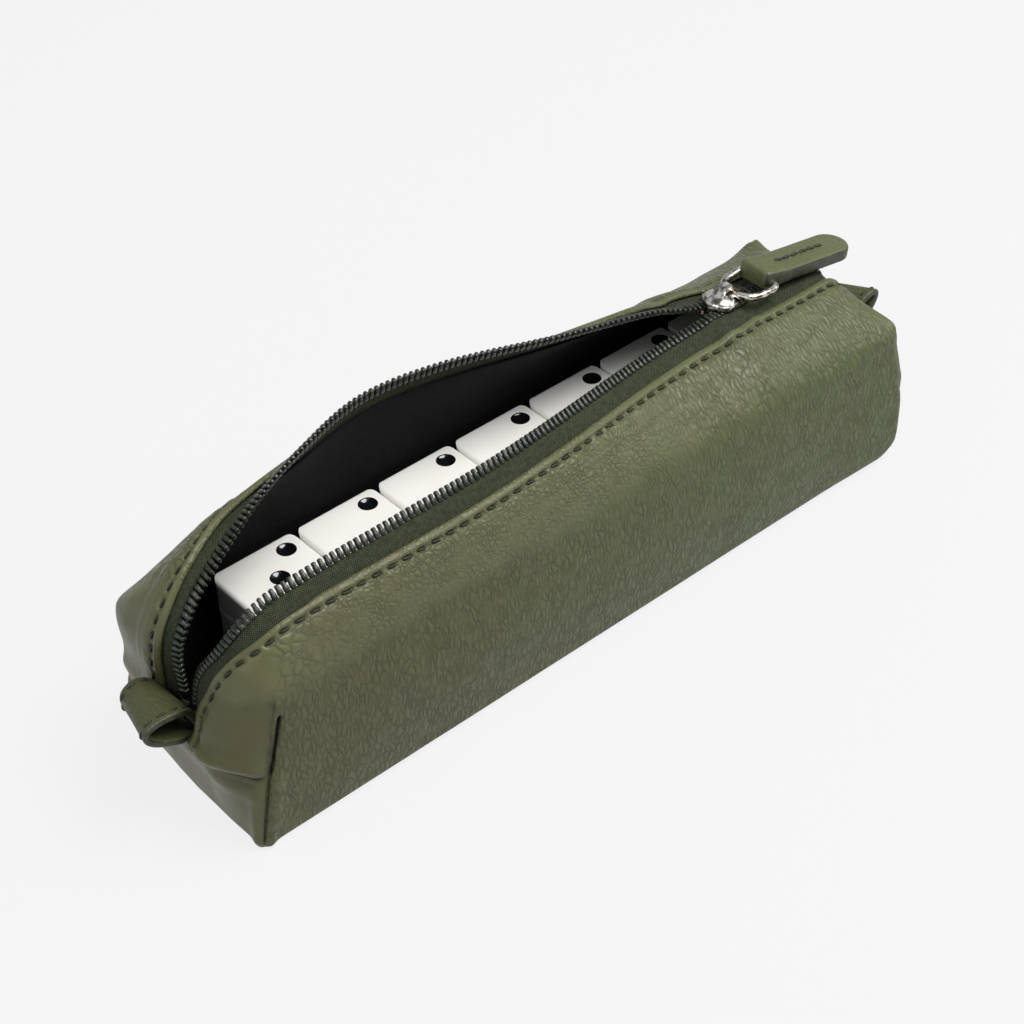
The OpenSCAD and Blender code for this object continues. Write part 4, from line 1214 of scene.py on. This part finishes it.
def paint_cap(x, y, z):
    """The film of paint in one pip: a thin closed lens on the hollow's floor."""
    reach = asin(pip_d / 2 / pip_r) * paint_share
    a, t = np.linspace(0, reach, 9), np.linspace(0, 2 * pi, 33)
    rings = []
    for r, order in ((pip_r - paint_clear, a), (pip_r - paint_t, a[::-1])):
        for k in order:
            out, up = r * sin(k), pip_r - pip_depth - r * cos(k)
            rings.append(np.stack([x + out * np.cos(t), y + out * np.sin(t), np.full(33, z + up)], -1))
    return np.stack(rings)


# the halves of the top layer's dominoes, from the open end on, each with its front half first
top_row = ((1, 3), (0, 2), (4, 2), (2, 2), (6, 2), (5, 2), (1, 1))
for a in range(7):
    for b in range(a, 7):
        name = f"domino_{a}_{b}"
        halves = next((t for t in top_row if tuple(sorted(t)) == (a, b)), (a, b))
        dressed(name, urea, domino_edge, 3)
        lo, hi = (Vector(c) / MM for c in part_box(name))
        caps = [paint_cap((lo.x + hi.x) / 2 + x, (lo.y + hi.y) / 2 + y + s * (hi.y - lo.y) / 4, hi.z)
                for s, count in ((-1, halves[0]), (1, halves[1])) for x, y in pips_of(count)]
        if caps:
            paint = weld(f"pips_{a}_{b}", [flipped(cap) for cap in caps])
            paint.data.materials.append(pip_paint)
            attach(paint, f"{name}_body" if halves in top_row else "case")

# ---------------------------------------------------------------- floor, light and camera
# A pale floor under even studio light: a broad soft box over the case, a smaller one on each
# side, and the bright room. Seen from the camera, floor and room run into one pale backdrop.
floor_size, floor_below = 6, 0.0002
pale_grey = (0.896, 0.896, 0.896)
glow_share, room_power = 0.93, 0.47


def floor_dress(tree):
    return {"Base_Color": lumps(tree, here(tree), 60, 2).tint(rgb("e4e4e4"), rgb("e6e6e6"))}


floor_mesh = bpy.data.meshes.new("floor")
corners = [(x * floor_size, y * floor_size, 0) for x, y in ((-1, -1), (1, -1), (1, 1), (-1, 1))]
floor_mesh.from_pydata(corners, [], [(0, 1, 2, 3)])
floor = bpy.data.objects.new("floor", floor_mesh)
floor.location.z = -floor_below
bpy.context.collection.objects.link(floor)
pale = finish_of("pale_floor", floor_dress, Roughness=0.9)
tree = pale.node_tree
seen = node(tree, "ShaderNodeLightPath", output="Is Camera Ray").bigger(
    node(tree, "ShaderNodeLightPath", output="Is Glossy Ray")).bigger(
    node(tree, "ShaderNodeLightPath", output="Is Transmission Ray"))
glow = node(tree, "ShaderNodeEmission", Color=pale_grey, Strength=1.0)
lit = Shade(tree, tree.nodes["Principled BSDF"].outputs[0])
both = node(tree, "ShaderNodeMixShader", None, seen * glow_share, lit, glow)
tree.links.new(both.socket, tree.nodes["Material Output"].inputs[0])
floor_mesh.materials.append(pale)

world = bpy.data.worlds.new("room")
world.use_nodes = True
bpy.context.scene.world = world
tree = world.node_tree
seen = node(tree, "ShaderNodeLightPath", output="Is Camera Ray")
room = node(tree, "ShaderNodeBackground", Color=(0.9, 0.95, 1.0), Strength=room_power)
backdrop = node(tree, "ShaderNodeBackground", Color=pale_grey, Strength=1.0)
both = node(tree, "ShaderNodeMixShader", None, seen, room, backdrop)
tree.links.new(both.socket, tree.nodes["World Output"].inputs[0])


def soft_box(name, place, aim, size, power, colour=(1, 1, 1)):
    """A lamp of a size and a power in watts, at a place, turned to a point."""
    lamp = bpy.data.lights.new(name, "AREA")
    lamp.shape, lamp.size, lamp.size_y = "RECTANGLE", *size
    lamp.energy, lamp.color = power, colour
    box = bpy.data.objects.new(name, lamp)
    box.location = place
    box.rotation_euler = (Vector(aim) - Vector(place)).to_track_quat("-Z", "Y").to_euler()
    bpy.context.collection.objects.link(box)


soft_box("top_box", place=(0.28, -0.36, 0.98), aim=(0, 0, 0.03), size=(0.7, 0.6), power=13.8,
         colour=(1, 0.995, 0.985))
soft_box("side_box", place=(0.9, -0.5, 0.5), aim=(0, 0, 0.03), size=(0.4, 0.4), power=1.7)
soft_box("left_box", place=(-0.7, -0.1, 0.55), aim=(-0.08, 0, 0.04), size=(0.35, 0.35), power=1.1)

# the camera: its focal length and the shift of its aim in pixels of a picture 1024 pixels
# square, the way it looks from, and its distance in millimetres
image, focal, off_x, off_y = 1024, 2219.2, 23.76, -70.99
look_az, look_el, roll = radians(-39.328), radians(40.035), radians(-2.575)
away = 561.0
back = Vector((sin(look_az) * cos(look_el), -cos(look_az) * cos(look_el), sin(look_el)))
ahead = -back
right = ahead.cross(Vector((0, 0, 1))).normalized()
upward = right.cross(ahead)
right, upward = cos(roll) * right + sin(roll) * upward, cos(roll) * upward - sin(roll) * right
eye = -(off_x * away / focal) * right - (off_y * away / focal) * upward - away * ahead
camera = bpy.data.cameras.new("camera")
camera.lens, camera.sensor_width = 36 * focal / image, 36
camera.clip_start, camera.clip_end = 0.01, 30
view = bpy.data.objects.new("camera", camera)
turn = Matrix((right, upward, back)).transposed().to_4x4()
view.matrix_world = Matrix.Translation(eye * MM) @ turn
bpy.context.collection.objects.link(view)
bpy.context.scene.camera = view
bpy.context.scene.view_settings.view_transform = "Standard"
